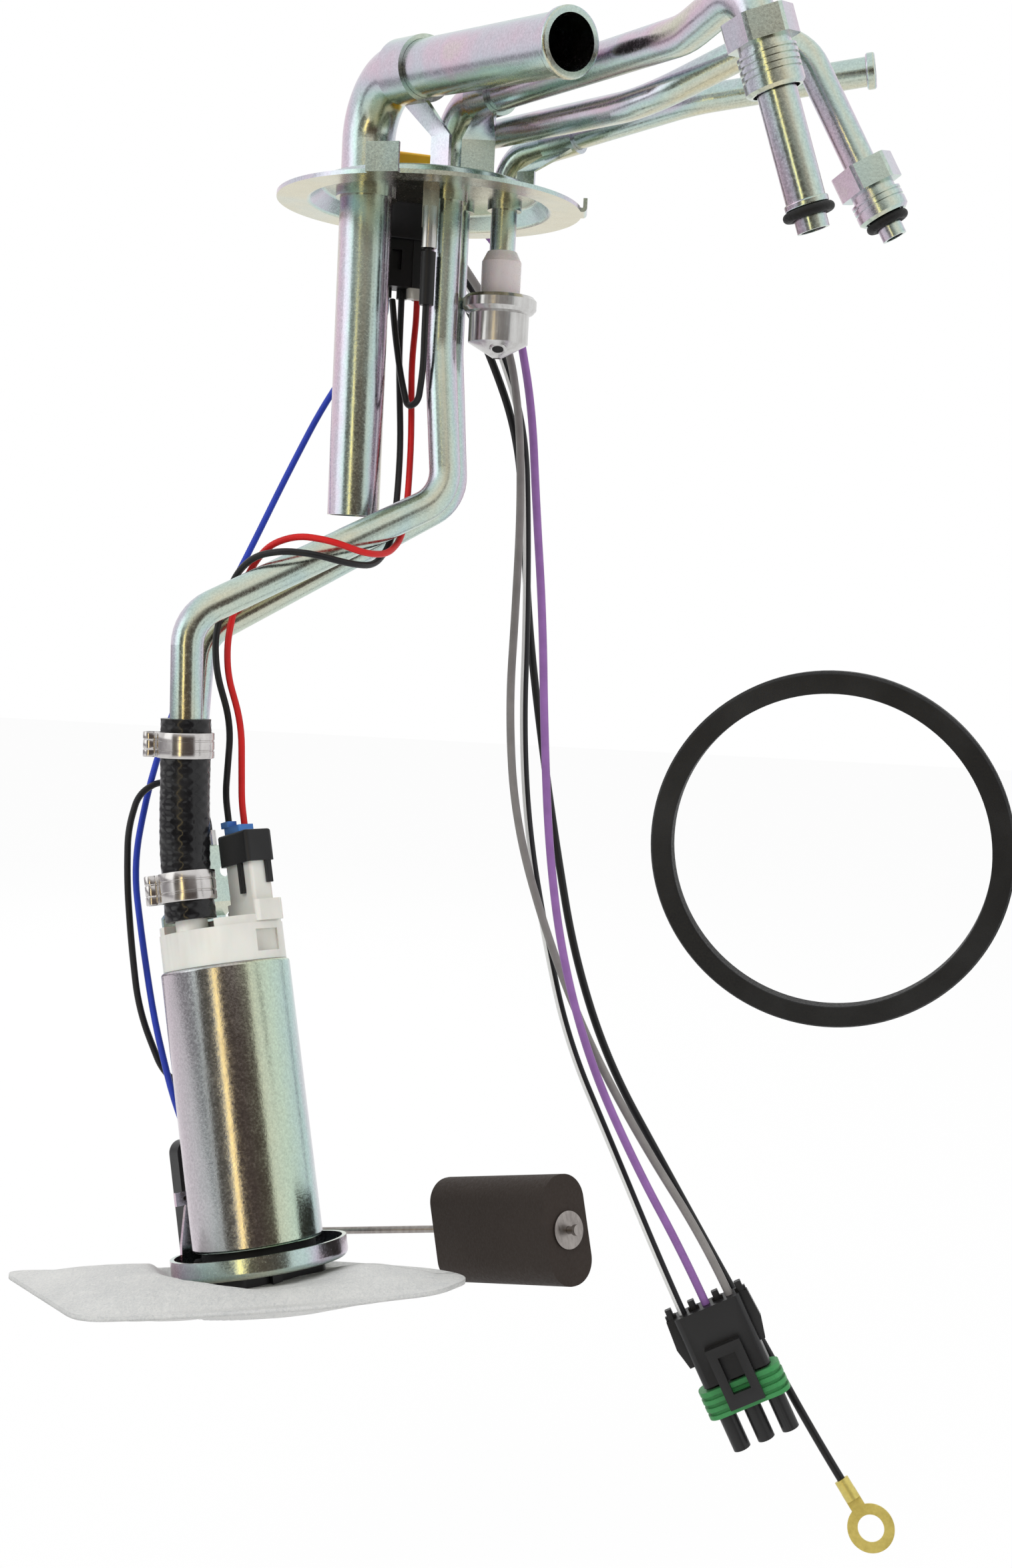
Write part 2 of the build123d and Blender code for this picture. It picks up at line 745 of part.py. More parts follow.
# Pump plug on the tower, with its hood, latch arms and lock
hood_base = tower_top - 3.3
hood_top = tower_top + 6.1
with BuildPart() as pump_plug:
    with BuildSketch(pump.offset(hood_base)):
        with Locations(tower_place):
            RectangleRounded(tower_size[0] + 2.4, tower_size[1] + 2.2, 1.4)
    extrude(amount=hood_top - hood_base)
    with BuildSketch(pump.offset(hood_base)):
        with Locations(tower_place):
            RectangleRounded(tower_size[0] + 0.3, tower_size[1] + 0.3, 1.2)
    extrude(amount=tower_top - hood_base + 0.1, mode=Mode.SUBTRACT)
    with BuildSketch(pump.offset(tower_top - 7.5)):
        with Locations(tower_place):
            Rectangle(tower_size[0] - 2.6, tower_size[1] - 2.6)
    extrude(amount=8.0)
    for arm_x, arm_y, arm_drop in ((tower_place[0] - tower_size[0] / 2 - 0.65, -12.4, 9.0),
                                   (tower_place[0] + 2.2, tower_place[1] - tower_size[1] / 2 - 0.6, 6.6)):
        with BuildSketch(pump.offset(hood_base - arm_drop)):
            with Locations((arm_x, arm_y)):
                Rectangle(0.9, 0.9)
                Rectangle(0.8 + 1.2 * (arm_drop < 8), 0.8 + 1.2 * (arm_drop > 8))
        extrude(amount=arm_drop + 1.0)
    fillet(pump_plug.faces().sort_by(Axis(pump.origin, pump.z_dir))[-1].edges(), 0.8)

with BuildPart() as pump_plug_lock:
    with BuildSketch(pump.offset(hood_top + 0.02)):
        with Locations((tower_place[0] - 0.5, tower_place[1] + 1.6)):
            RectangleRounded(5.4, 8.8, 0.8)
    extrude(amount=2.2)
    with BuildSketch(pump.offset(hood_top + 2.2)):
        with Locations((tower_place[0] - 1.8, tower_place[1] + 4.8)):
            RectangleRounded(3.6, 4.0, 0.6)
    extrude(amount=1.8)

# Strap and tray: one steel pressing that hangs the pump from the return tube
strap_inner = can_radius + side_gap
strap_outer = strap_inner + sheet
plate_inner = 7.0 + return_od / 2 + fit_gap
with BuildPart() as pump_bracket:
    extrude(ring(pump.offset(tray_floor), tray_radius), amount=tray_depth)
    extrude(ring(pump.offset(tray_floor + sheet), tray_radius - sheet), amount=tray_depth, mode=Mode.SUBTRACT)
    fillet(pump_bracket.edges().filter_by(GeomType.CIRCLE).group_by(SortBy.RADIUS)[-1].group_by(
        Axis(pump.origin, pump.z_dir))[0], 2.0)
    with BuildSketch(pump.offset(tray_floor - 1)):
        with Locations((0, strap_outer + 10)):
            Rectangle(3 * tray_radius, 20)
    extrude(amount=tray_depth + 2, mode=Mode.SUBTRACT)
    strap_face = Plane(origin=at_pump(0, strap_inner, 0), x_dir=pump.x_dir, z_dir=pump.y_dir)
    foot_half = (tray_radius**2 - strap_outer**2) ** 0.5 - 0.4
    with BuildSketch(strap_face):
        with BuildLine():
            Polyline(
                (-foot_half, -tray_floor),
                (foot_half, -tray_floor),
                (foot_half - 1.0, -2.0),
                (strap_half_width, -26.0),
                (strap_half_width, -strap_top),
                (-strap_half_width, -strap_top),
                (-strap_half_width, -26.0),
                (-foot_half + 1.0, -2.0),
                close=True,
            )
        make_face()
    extrude(amount=sheet)
    with BuildSketch(Plane(origin=at_pump(-strap_half_width, 0, 0), x_dir=pump.y_dir, z_dir=pump.x_dir)):
        with BuildLine():
            Polyline(
                (strap_inner, strap_top - 1.5),
                (strap_outer, strap_top - 1.5),
                (strap_outer, strap_top + 1.6),
                (plate_inner + sheet, strap_top + 5.4),
                (plate_inner + sheet, plate_top),
                (plate_inner, plate_top),
                (plate_inner, strap_top + 4.6),
                (strap_inner, strap_top + 1.0),
                close=True,
            )
        make_face()
    extrude(amount=2 * strap_half_width + 6.0)
    plate_hole = Plane(origin=at_pump(10.5, plate_inner - 1, plate_top - 8.0), x_dir=pump.x_dir, z_dir=pump.y_dir)
    with BuildSketch(plate_hole):
        Circle(1.8)
    extrude(amount=4, mode=Mode.SUBTRACT)
    with BuildSketch(pump.offset(tray_floor - 1)):
        Circle(8.0)
    extrude(amount=4, mode=Mode.SUBTRACT)
    ear = Plane(origin=at_pump(-strap_half_width - 2.6, strap_inner, 15.0), x_dir=pump.x_dir, z_dir=pump.y_dir)
    with BuildSketch(ear):
        Rectangle(7.6, 4.0)
        SlotOverall(2.6, 1.2, mode=Mode.SUBTRACT)
    extrude(amount=sheet)

with BuildPart() as pump_isolator:
    rubber_plane = pump.offset(tray_floor + sheet + 0.02)
    rubber_height = -tray_floor - sheet - 0.05
    extrude(ring(rubber_plane, rubber_radius, 7.3), amount=rubber_height)
    with BuildSketch(rubber_plane):
        with PolarLocations(rubber_radius - 0.4, 7, start_angle=15, angular_range=300):
            Rectangle(5.2, 6.0)
    extrude(amount=rubber_height * 0.6)

# Strainer: a moulded frame on the pump inlet, and the sock it carries
frame_top = tray_floor - 0.05
inlet_depth = frame_top * -1 - inlet_reach - 0.1
sock_plane = Plane(origin=(-31.5, -60.5, -315.3), x_dir=(0.965, 0.262, -0.049), z_dir=(0, 0.188, 1))
with BuildPart() as strainer_frame:
    with BuildSketch(pump.offset(frame_top)):
        with Locations((-2.0, -2.0)):
            RectangleRounded(34.0, 25.0, 5.0)
    extrude(amount=-14.0)
    with BuildSketch(pump.offset(frame_top - 14.0)):
        with Locations((-5.0, -15.2)):
            Rectangle(3.2, 2.4)
    extrude(amount=13.5)
    split(bisect_by=sock_plane.offset(side_gap))
    extrude(ring(pump.offset(frame_top - 0.5), 6.9), amount=inlet_depth + 0.5)
    extrude(ring(pump.offset(frame_top), inlet_bore - fit_gap), amount=-frame_top - 0.6)
    extrude(ring(pump.offset(frame_top - 30.0), inlet_bore - 1.2), amount=30.0 - frame_top, mode=Mode.SUBTRACT)

sock_height = 9.5
with BuildPart() as strainer_sock:
    with BuildSketch(sock_plane):
        with BuildLine():
            Polyline((-70, 30), (-51, -31.5), (15, -31), (48, -20), (63, -2), (56, 10), (20, 28), close=True)
        make_face()
    extrude(amount=-sock_height)
    fillet(strainer_sock.edges().filter_by(Axis(sock_plane.origin, sock_plane.z_dir)), 7.0)
    fillet(strainer_sock.faces().sort_by(Axis(sock_plane.origin, sock_plane.z_dir))[0].edges(), 4.0)
    fillet(strainer_sock.faces().sort_by(Axis(sock_plane.origin, sock_plane.z_dir))[-1].edges(), 4.0)

# Level sender: housing and resistor card on the strap, wiper and arm on a pivot
housing_depth = 5.0
housing_back = strap_outer + 0.02 + housing_depth
housing_face = Plane(origin=at_pump(0, strap_outer + 0.02, 0), x_dir=pump.x_dir, z_dir=pump.y_dir)
pivot_height = 0.0
pivot_radius = 2.0
hub_thickness = 3.2
with BuildPart() as sender_body:
    with BuildSketch(housing_face):
        with Locations((0, -13.0)):
            RectangleRounded(23.0, 38.0, 4.0)
    extrude(amount=housing_depth)
    with BuildSketch(housing_face.offset(1.6)):
        with Locations((0, -17.0)):
            Rectangle(19.0, 24.0)
    extrude(amount=housing_depth, mode=Mode.SUBTRACT)
    with BuildSketch(housing_face.offset(housing_depth - 0.01)):
        Circle(pivot_radius)
    extrude(amount=0.2 + hub_thickness)

with BuildPart() as resistor_card:
    with BuildSketch(housing_face.offset(1.62)):
        with Locations((0, -17.0)):
            Rectangle(18.4, 20.0)
    extrude(amount=0.9)

hub_plane = housing_face.offset(housing_depth + 0.2)
with BuildPart() as wiper:
    with BuildSketch(hub_plane):
        Circle(4.6)
        Circle(pivot_radius + journal_gap, mode=Mode.SUBTRACT)
    extrude(amount=hub_thickness)
    with BuildSketch(hub_plane):
        with Locations((0, -11.5)):
            RectangleRounded(3.4, 16.5, 1.2)
        Circle(3.0, mode=Mode.SUBTRACT)
    extrude(amount=0.6)

arm_y = housing_back + 0.2 + hub_thickness + arm_wire / 2 + 0.02
arm_points = [
    at_pump(-6.0, arm_y, pivot_height),
    at_pump(31.0, arm_y, -2.6),
    at_pump(arm_reach, -float_start + 5.5, float_level),
    at_pump(arm_reach, -float_start - float_length - 4.6, float_level),
]
arm_route = bent(arm_points, [8.0, 5.0])
with BuildPart() as float_arm:
    add(pipe(arm_route, arm_wire / 2))
    with BuildSketch(Plane(origin=arm_points[-1], x_dir=pump.z_dir, z_dir=-pump.y_dir)):
        Circle(1.6)
    extrude(amount=-1.4)
    with BuildSketch(hub_plane.offset(hub_thickness + 0.02)):
        Circle(2.6)
    extrude(amount=arm_wire)

float_plane = Plane(origin=at_pump(arm_reach, -float_start, float_level), x_dir=pump.x_dir, z_dir=-pump.y_dir)
with BuildPart() as float_block:
    with BuildSketch(float_plane):
        RectangleRounded(float_width, float_height, float_width / 2 - 0.4)
        Circle(arm_wire / 2 + fit_gap, mode=Mode.SUBTRACT)
    extrude(amount=float_length)

with BuildPart() as float_retainer:
    extrude(ring(float_plane.offset(float_length + 0.02), 5.4, arm_wire / 2 + fit_gap), amount=0.7)

# Ear of the sender's earth wire on the strap
with BuildPart() as bracket_terminal:
    with BuildSketch(pump.offset(plate_top + 0.02)):
        with Locations((terminal_place[0], plate_inner + sheet / 2)):
            Circle(1.9)
            Circle(wire_radius + fit_gap, mode=Mode.SUBTRACT)
    extrude(amount=4.6)

# Wires inside the tank, clipped between the sender plug, the pump plug and the sender
boot_bottom = plug_top - plug_height - 3.0
red_points = [
    plug_plane.from_local_coords((5.0, 1.0, -plug_height - 3.05)),
    plug_plane.from_local_coords((5.0, 1.0, -plug_height - 9.0)),
    (-4.4, 17.5, -44.0),
    (-2.9, 9.5, -68.6),
    (-2.8, 3.5, -85.6),
    (-3.6, -1.0, -98.2),
    (-7.2, -12.5, -103.6),
    (-13.2, -21.5, -103.7),
    (-22.5, -25.5, -100.6),
    (-32.5, -24.5, -99.5),
    (-40.9, -22.0, -102.4),
    (-46.8, -16.5, -108.9),
    (-52.1, -12.5, -120.7),
    (-53.7, -15.0, -132.1),
    (-52.6, -18.5, -141.8),
    (-47.6, -21.0, -155.9),
    at_pump(tower_place[0] + 0.9, tower_place[1] + 0.4, hood_top + 9.4),
    at_pump(tower_place[0] + 0.9, tower_place[1] + 0.4, hood_top + 2.3),
]
with BuildPart() as red_wire:
    add(cord("red_wire", red_points, wire_radius))

black_points = [
    plug_plane.from_local_coords((0.0, 1.0, -plug_height - 3.05)),
    plug_plane.from_local_coords((0.0, 1.0, -plug_height - 9.0)),
    (-8.4, 18.0, -43.0),
    (-6.1, 9.0, -69.8),
    (-6.0, 2.6, -86.4),
    (-6.9, -1.0, -100.2),
    (-10.9, -13.5, -107.2),
    (-17.2, -23.5, -107.0),
    (-27.4, -28.0, -104.7),
    (-36.2, -27.0, -104.2),
    (-45.0, -22.5, -105.9),
    (-51.2, -17.0, -111.1),
    (-56.1, -13.5, -122.8),
    (-57.2, -16.0, -131.8),
    (-55.7, -19.5, -141.5),
    (-50.8, -20.5, -156.1),
    at_pump(tower_place[0] - 1.8, tower_place[1] + 4.6, hood_top + 12.4),
    at_pump(tower_place[0] - 1.8, tower_place[1] + 4.6, hood_top + 4.1),
]
with BuildPart() as black_wire:
    add(cord("black_wire", black_points, wire_radius))

blue_points = [
    plug_plane.from_local_coords((-5.0, 1.0, -plug_height - 3.05)),
    plug_plane.from_local_coords((-5.0, 1.0, -plug_height - 9.0)),
    (-20.0, 17.5, -40.0),
    (-31.5, 18.0, -58.0),
    (-42.0, 15.0, -81.0),
    (-51.5, 10.0, -104.0),
    (-61.0, 4.5, -126.0),
    (-70.5, -0.5, -150.0),
    (-77.5, -5.5, -176.0),
    (-81.0, -9.5, -202.0),
    at_pump(-13.0, 24.6, 92.0),
    at_pump(-12.5, 23.6, 68.0),
    at_pump(-9.5, 23.4, 46.0),
    at_pump(-6.0, 23.4, 32.4),
]
with BuildPart() as blue_wire:
    add(cord("blue_wire", blue_points, wire_radius))

sender_ground_points = [
    at_pump(terminal_place[0], plate_inner + sheet / 2, 120.5),
    at_pump(terminal_place[0], plate_inner + sheet / 2, 129.0),
    at_pump(4.0, 15.0, 137.0),
    at_pump(-4.0, 17.0, 141.0),
    at_pump(-12.5, 17.5, 137.0),
    at_pump(-17.5, 17.5, 126.0),
    at_pump(-19.5, 18.0, 110.0),
    at_pump(-19.0, 20.5, 92.0),
    at_pump(-15.5, 27.0, 72.0),
    at_pump(-9.0, 28.0, 52.0),
    at_pump(0.5, 26.4, 44.0),
    at_pump(3.0, 23.2, 39.0),
    at_pump(3.0, 23.2, 32.05),
]
with BuildPart() as sender_ground_wire:
    add(cord("sender_ground_wire", sender_ground_points, wire_radius))

# Place of the line connector, which the leads enter from above
connector = Plane(origin=(105.4, 6.2, -338.6), x_dir=(0.88, -0.05, 0.46), z_dir=(0.46, -0.13, -0.88))
pin_pitch = 8.5
lead_pitch = 8.2
latch_start = 12.0
latch_reach = 20.5
latch_width = 12.0

# Harness: four leads from the bulkhead, over the rim, down to the line connector and the earth ring
purple_points = [
    bulkhead.from_local_coords((6.0, 11.55, 8.0)),
    bulkhead.from_local_coords((6.0, 20.0, 8.4)),
    (4.0, 48.5, 7.0),
    (13.0, 54.0, -8.0),
    (22.5, 56.0, -26.0),
    (31.0, 52.0, -52.0),
    (37.0, 46.0, -84.0),
    (41.0, 38.5, -120.0),
    (43.5, 31.5, -158.0),
    (47.0, 25.5, -196.0),
    (53.0, 20.5, -230.0),
    (64.0, 17.0, -264.0),
    (80.5, 12.5, -296.0),
    connector.from_local_coords((0, 0, -16.0)),
    connector.from_local_coords((0, 0, 3.9)),
]
with BuildPart() as purple_lead:
    add(cord("purple_lead", purple_points, lead_radius))

grey_points = [
    bulkhead.from_local_coords((2.0, 11.55, 8.0)),
    bulkhead.from_local_coords((2.0, 20.0, 8.4)),
    (-2.5, 51.5, 7.0),
    (6.0, 58.0, -9.0),
    (16.0, 61.5, -28.0),
    (26.0, 60.0, -54.0),
    (31.0, 54.5, -84.0),
    (32.0, 48.0, -118.0),
    (31.5, 41.5, -152.0),
    (35.5, 35.0, -188.0),
    (47.5, 29.0, -224.0),
    (63.0, 23.5, -258.0),
    (82.0, 18.0, -289.0),
    connector.from_local_coords((lead_pitch, 0, -17.0)),
    connector.from_local_coords((lead_pitch, 0, 3.9)),
]
with BuildPart() as grey_lead:
    add(cord("grey_lead", grey_points, lead_radius))

striped_points = [
    bulkhead.from_local_coords((-2.0, 11.55, 8.0)),
    bulkhead.from_local_coords((-2.0, 20.0, 8.4)),
    (-8.0, 54.0, 7.5),
    (2.0, 62.5, -8.0),
    (13.0, 67.0, -30.0),
    (25.0, 66.0, -58.0),
    (33.0, 61.0, -90.0),
    (36.0, 54.5, -124.0),
    (36.5, 48.0, -158.0),
    (40.0, 41.5, -192.0),
    (47.5, 34.0, -226.0),
    (56.5, 26.0, -259.0),
    (72.5, 17.5, -291.0),
    connector.from_local_coords((-lead_pitch, 0, -17.0)),
    connector.from_local_coords((-lead_pitch, 0, 3.9)),
]
with BuildPart() as striped_lead:
    add(cord("striped_lead", striped_points, lead_radius))

ground_points = [
    bulkhead.from_local_coords((-6.0, 11.55, 8.0)),
    bulkhead.from_local_coords((-6.0, 20.0, 8.4)),
    (-14.0, 56.0, 7.5),
    (-4.0, 66.0, -8.0),
    (9.0, 71.5, -32.0),
    (22.0, 70.5, -60.0),
    (31.0, 65.5, -92.0),
    (37.0, 59.0, -126.0),
    (43.0, 52.5, -162.0),
    (50.0, 46.0, -198.0),
    (58.0, 40.0, -234.0),
    (71.0, 33.5, -268.0),
    (91.0, 27.5, -300.0),
    (110.0, 22.0, -330.0),
    (129.0, 15.0, -359.0),
    (144.0, 7.0, -382.0),
    (154.0, 0.0, -395.5),
]
with BuildPart() as ground_lead:
    add(cord("ground_lead", ground_points, lead_radius))

# Line connector of the harness: three tubes in a shell with wings and a latch bridge, and its seal
with BuildPart() as harness_connector:
    with BuildSketch(connector):
        RectangleRounded(23.0, 9.0, 2.0)
    extrude(amount=24.0)
    wing = Plane(origin=connector.from_local_coords((0, 1.2, 0)), x_dir=connector.x_dir, z_dir=-connector.y_dir)
    for hand in (-1, 1):
        with BuildSketch(wing):
            with BuildLine():
                Polyline(
                    (hand * 11.0, 0),
                    (hand * 14.2, 0.4),
                    (hand * 14.8, 10.0),
                    (hand * 13.2, 17.0),
                    (hand * 11.0, 17.0),
                    close=True,
                )
            make_face()
        extrude(amount=2.4)
    with BuildSketch(connector.offset(latch_start)):
        with Locations((0, -5.2)):
            Rectangle(latch_width, 4.4)
    extrude(amount=3.4)
    for hand in (-1, 1):
        with BuildSketch(connector.offset(latch_start)):
            with Locations((hand * (latch_width / 2 - 1.5), -6.4)):
                Rectangle(3.0, 2.0)
        extrude(amount=latch_reach)
    with BuildSketch(connector.offset(latch_start + latch_reach - 4.6)):
        with Locations((0, -6.4)):
            Rectangle(latch_width, 2.0)
    extrude(amount=4.6)
    for offset_x in (-12.2, -4.2, 4.2, 12.2):
        with BuildSketch(connector.offset(0.5)):
            with Locations((offset_x, 0)):
                RectangleRounded(2.2, 2.2, 0.5)
        extrude(amount=-3.6)
        with BuildSketch(connector.offset(0.5)):
            with Locations((offset_x, 0)):
                Rectangle(3.6, 1.4)
        extrude(amount=-1.6)
    for number in (-1, 0, 1):
        with BuildSketch(connector.offset(24.0)):
            with Locations((number * pin_pitch, 0)):
                Circle(2.9)
                Circle(1.5, mode=Mode.SUBTRACT)
        extrude(amount=16.0)
    for number in (-1, 0, 1):
        with BuildSketch(connector):
            with Locations((number * lead_pitch, 0)):
                Circle(lead_radius + fit_gap)
        extrude(amount=4.0, mode=Mode.SUBTRACT)

with BuildPart() as connector_seal:
    with BuildSketch(connector.offset(25.0)):
        RectangleRounded(28.0, 9.6, 4.2)
        for number in (-1, 0, 1):
            with Locations((number * pin_pitch, 0)):
                Circle(2.95, mode=Mode.SUBTRACT)
    extrude(amount=1.6)
    for rib in range(3):
        with BuildSketch(connector.offset(26.6 + rib * 2.6)):
            RectangleRounded(26.6, 8.4, 3.8)
            for number in (-1, 0, 1):
                with Locations((number * pin_pitch, 0)):
                    Circle(2.95, mode=Mode.SUBTRACT)
        extrude(amount=1.2)
        with BuildSketch(connector.offset(27.8 + rib * 2.6)):
            RectangleRounded(28.2, 9.8, 4.2)
            for number in (-1, 0, 1):
                with Locations((number * pin_pitch, 0)):
                    Circle(2.95, mode=Mode.SUBTRACT)
        extrude(amount=1.4)

# Earth ring on its lead
ring_axis = (Vector(*ground_points[-1]) - Vector(*ground_points[-2])).normalized()
ring_side = ring_axis.cross(Vector(0.1, -0.97, -0.15)).normalized()
ring_face = Plane(origin=Vector(*ground_points[-1]) + ring_axis * 14.0, x_dir=ring_axis,
                  z_dir=ring_side.cross(ring_axis))
with BuildPart() as ring_terminal:
    with BuildSketch(ring_face):
        Circle(7.5)
        with Locations((-9.0, 0)):
            Rectangle(8.0, 4.8)
        Circle(4.2, mode=Mode.SUBTRACT)
    extrude(amount=0.5, both=True)
    crimp = Plane(origin=Vector(*ground_points[-1]) - ring_axis * 3.0, z_dir=ring_axis)
    extrude(ring(crimp, 2.4, lead_radius + fit_gap), amount=7.0)

# Tank seal: a square-shouldered rubber ring that stands beside the module
seal_plane = Plane(origin=(114, -104, -173), x_dir=(0.96, -0.28, 0), z_dir=(-0.28, -0.955, -0.05))
with BuildPart() as tank_seal:
    with BuildSketch(Plane(origin=seal_plane.origin, x_dir=seal_plane.x_dir, z_dir=-seal_plane.y_dir)) as seal_section:
        with BuildLine():
            Polyline(
                (seal_bore, -seal_height / 2),
                (seal_radius - 0.6, -seal_height / 2),
                (seal_radius, -seal_height / 2 + 1.0),
                (seal_radius, seal_height / 2 - 1.0),
                (seal_radius - 0.6, seal_height / 2),
                (seal_bore, seal_height / 2),
                close=True,
            )
        make_face()
        fillet(seal_section.vertices(), 0.4)
    revolve(axis=Axis(seal_plane.origin, seal_plane.z_dir))

pieces = {
    "flange_plate": flange_plate,
    "vent_tube": vent_tube,
    "supply_tube": supply_tube,
    "return_tube": return_tube,
    "evap_tube": evap_tube,
    "vent_bracket": vent_bracket,
    "line_bracket": line_bracket,
    "evap_bracket": evap_bracket,
    "supply_nut": supply_nut,
    "return_nut": return_nut,
    "supply_o_ring": supply_o_ring,
    "return_o_ring": return_o_ring,
    "bulkhead_connector": bulkhead_connector,
    "sender_plug": sender_plug,
    "sender_plug_lock": sender_plug_lock,
    "valve_body": valve_body,
    "valve_cup": valve_cup,
    "valve_ball": valve_ball,
    "ground_terminal": ground_terminal,
    "flange_ground_wire": flange_ground_wire,
    "fuel_hose": fuel_hose,
    "upper_hose_clamp": upper_hose_clamp,
    "lower_hose_clamp": lower_hose_clamp,
    "pump_can": pump_can,
    "pump_cap": pump_cap,
    "relief_valve": relief_valve,
    "outlet_valve": outlet_valve,
    "armature": armature,
    "rotor_shaft": rotor_shaft,
    "field_magnets": field_magnets,
    "impeller": impeller,
    "pump_chamber": pump_chamber,
    "inlet_cover": inlet_cover,
    "brushes": brushes,
    "pump_plug": pump_plug,
    "pump_plug_lock": pump_plug_lock,
    "pump_bracket": pump_bracket,
    "pump_isolator": pump_isolator,
    "strainer_frame": strainer_frame,
    "strainer_sock": strainer_sock,
    "sender_body": sender_body,
    "resistor_card": resistor_card,
    "wiper": wiper,
    "float_arm": float_arm,
    "float_block": float_block,
    "float_retainer": float_retainer,
    "bracket_terminal": bracket_terminal,
    "red_wire": red_wire,
    "black_wire": black_wire,
    "blue_wire": blue_wire,
    "sender_ground_wire": sender_ground_wire,
    "purple_lead": purple_lead,
    "grey_lead": grey_lead,
    "striped_lead": striped_lead,
    "ground_lead": ground_lead,
    "harness_connector": harness_connector,
    "connector_seal": connector_seal,
    "ring_terminal": ring_terminal,
    "tank_seal": tank_seal,
}
for name, piece in pieces.items():
    piece.part.label = name
    export_step(piece.part, f"parts/{name}.step")
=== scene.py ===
"""Dresses the fuel pump module: finishes, harness leads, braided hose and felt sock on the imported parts."""

import json
import logging
import math
from collections.abc import Sequence
from dataclasses import dataclass
from enum import Enum

import bpy
import numpy as np
from mathutils import Matrix, Vector, noise

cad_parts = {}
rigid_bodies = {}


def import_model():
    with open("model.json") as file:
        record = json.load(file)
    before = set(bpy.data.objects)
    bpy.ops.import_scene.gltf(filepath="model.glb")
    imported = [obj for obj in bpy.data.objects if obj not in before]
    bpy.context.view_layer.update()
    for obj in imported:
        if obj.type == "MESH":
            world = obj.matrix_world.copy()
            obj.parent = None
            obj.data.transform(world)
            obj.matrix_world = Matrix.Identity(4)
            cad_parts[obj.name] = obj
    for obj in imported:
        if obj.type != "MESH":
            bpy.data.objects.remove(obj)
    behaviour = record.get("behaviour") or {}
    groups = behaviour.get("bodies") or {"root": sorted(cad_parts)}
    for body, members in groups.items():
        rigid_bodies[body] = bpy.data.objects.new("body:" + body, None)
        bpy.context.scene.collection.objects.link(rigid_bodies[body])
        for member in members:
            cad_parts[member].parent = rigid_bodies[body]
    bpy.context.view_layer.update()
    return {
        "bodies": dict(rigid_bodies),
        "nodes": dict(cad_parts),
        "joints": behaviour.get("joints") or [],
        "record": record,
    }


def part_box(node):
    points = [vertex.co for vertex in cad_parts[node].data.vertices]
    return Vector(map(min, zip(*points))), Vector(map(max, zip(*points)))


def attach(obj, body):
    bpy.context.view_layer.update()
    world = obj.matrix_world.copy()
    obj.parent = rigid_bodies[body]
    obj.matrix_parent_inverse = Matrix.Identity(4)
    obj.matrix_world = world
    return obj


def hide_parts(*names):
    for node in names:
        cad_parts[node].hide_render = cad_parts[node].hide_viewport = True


LOG = logging.getLogger("fuel_pump_module")
ROOT = "module"
MM = 0.001
FULL_TURN = 2 * math.pi

Pair = tuple[float, float]
Point = tuple[float, float, float]
Colour = tuple[float, float, float]
Stops = Sequence[tuple[float, Colour]]
Piece = bpy.types.Object
Material = bpy.types.Material
Socket = bpy.types.NodeSocket
Value = Socket | Point | float

# Direction across the front from left to right; plating colour that follows it is painted sheen.
ACROSS_FRONT: Point = (0.985, 0.17, 0.0)
UPWARD: Point = (0.0, 0.0, 1.0)
NOISE_SPAN: Pair = (0.35, 0.65)


class Texture(Enum):
    """Kinds of pattern, each with its node and the output that is used."""

    NOISE = ("ShaderNodeTexNoise", "Fac")
    PORES = ("ShaderNodeTexVoronoi", "Distance")


class Nodes:
    """A node tree while it is being put together."""

    def __init__(self, owner: Material | bpy.types.World) -> None:
        """Empties the tree.

        Args:
            owner: material or world that the tree belongs to.
        """
        owner.use_nodes = True
        self.tree = owner.node_tree
        self.tree.nodes.clear()

    def feed(self, target: Socket, value: Value) -> None:
        """Links an output to an input, or gives the input a value of its own.

        Args:
            target: the input.
            value: an output, a number, a direction or a colour.
        """
        if isinstance(value, Socket):
            self.tree.links.new(value, target)
        else:
            target.default_value = (*value, 1) if target.type == "RGBA" else value

    def node(self, kind: str, inputs: dict[str | int, Value] | None = None, **settings: object) -> bpy.types.Node:
        """Adds a node.

        Args:
            kind: the node's type name.
            inputs: what each named or numbered input is fed.
            settings: attributes to set on it.

        Returns:
            The new node.
        """
        made = self.tree.nodes.new(kind)
        for key, value in settings.items():
            setattr(made, key, value)
        for key, value in (inputs or {}).items():
            self.feed(made.inputs[key], value)
        return made

    def reckon(self, operation: str, *terms: Value) -> Socket:
        """Sum, product or the like of outputs and numbers.

        Args:
            operation: the math node's operation.
            terms: what its inputs are fed, in order.

        Returns:
            The socket of the result.
        """
        return self.node("ShaderNodeMath", dict(enumerate(terms)), operation=operation).outputs[0]

    def between(self, factor: Socket, out: Pair, span: Pair = NOISE_SPAN) -> Socket:
        """Maps a value's range to another.

        Args:
            factor: the value.
            out: the result at the range's ends.
            span: where the range starts and ends.

        Returns:
            The socket of the result.
        """
        return self.node("ShaderNodeMapRange", {
            "Value": factor, "From Min": span[0], "From Max": span[1], "To Min": out[0], "To Max": out[1],
        }, clamp=True).outputs["Result"]

    def seen(self) -> Socket:
        """Tells the rays of the eye, of gloss and of clear pieces from those of plain light.

        Returns:
            The socket of the value: 1 for the first and 0 for the rest.
        """
        rays = self.node("ShaderNodeLightPath").outputs
        mirrored = self.reckon("MAXIMUM", rays["Is Camera Ray"], rays["Is Glossy Ray"])
        return self.reckon("MAXIMUM", mirrored, rays["Is Transmission Ray"])


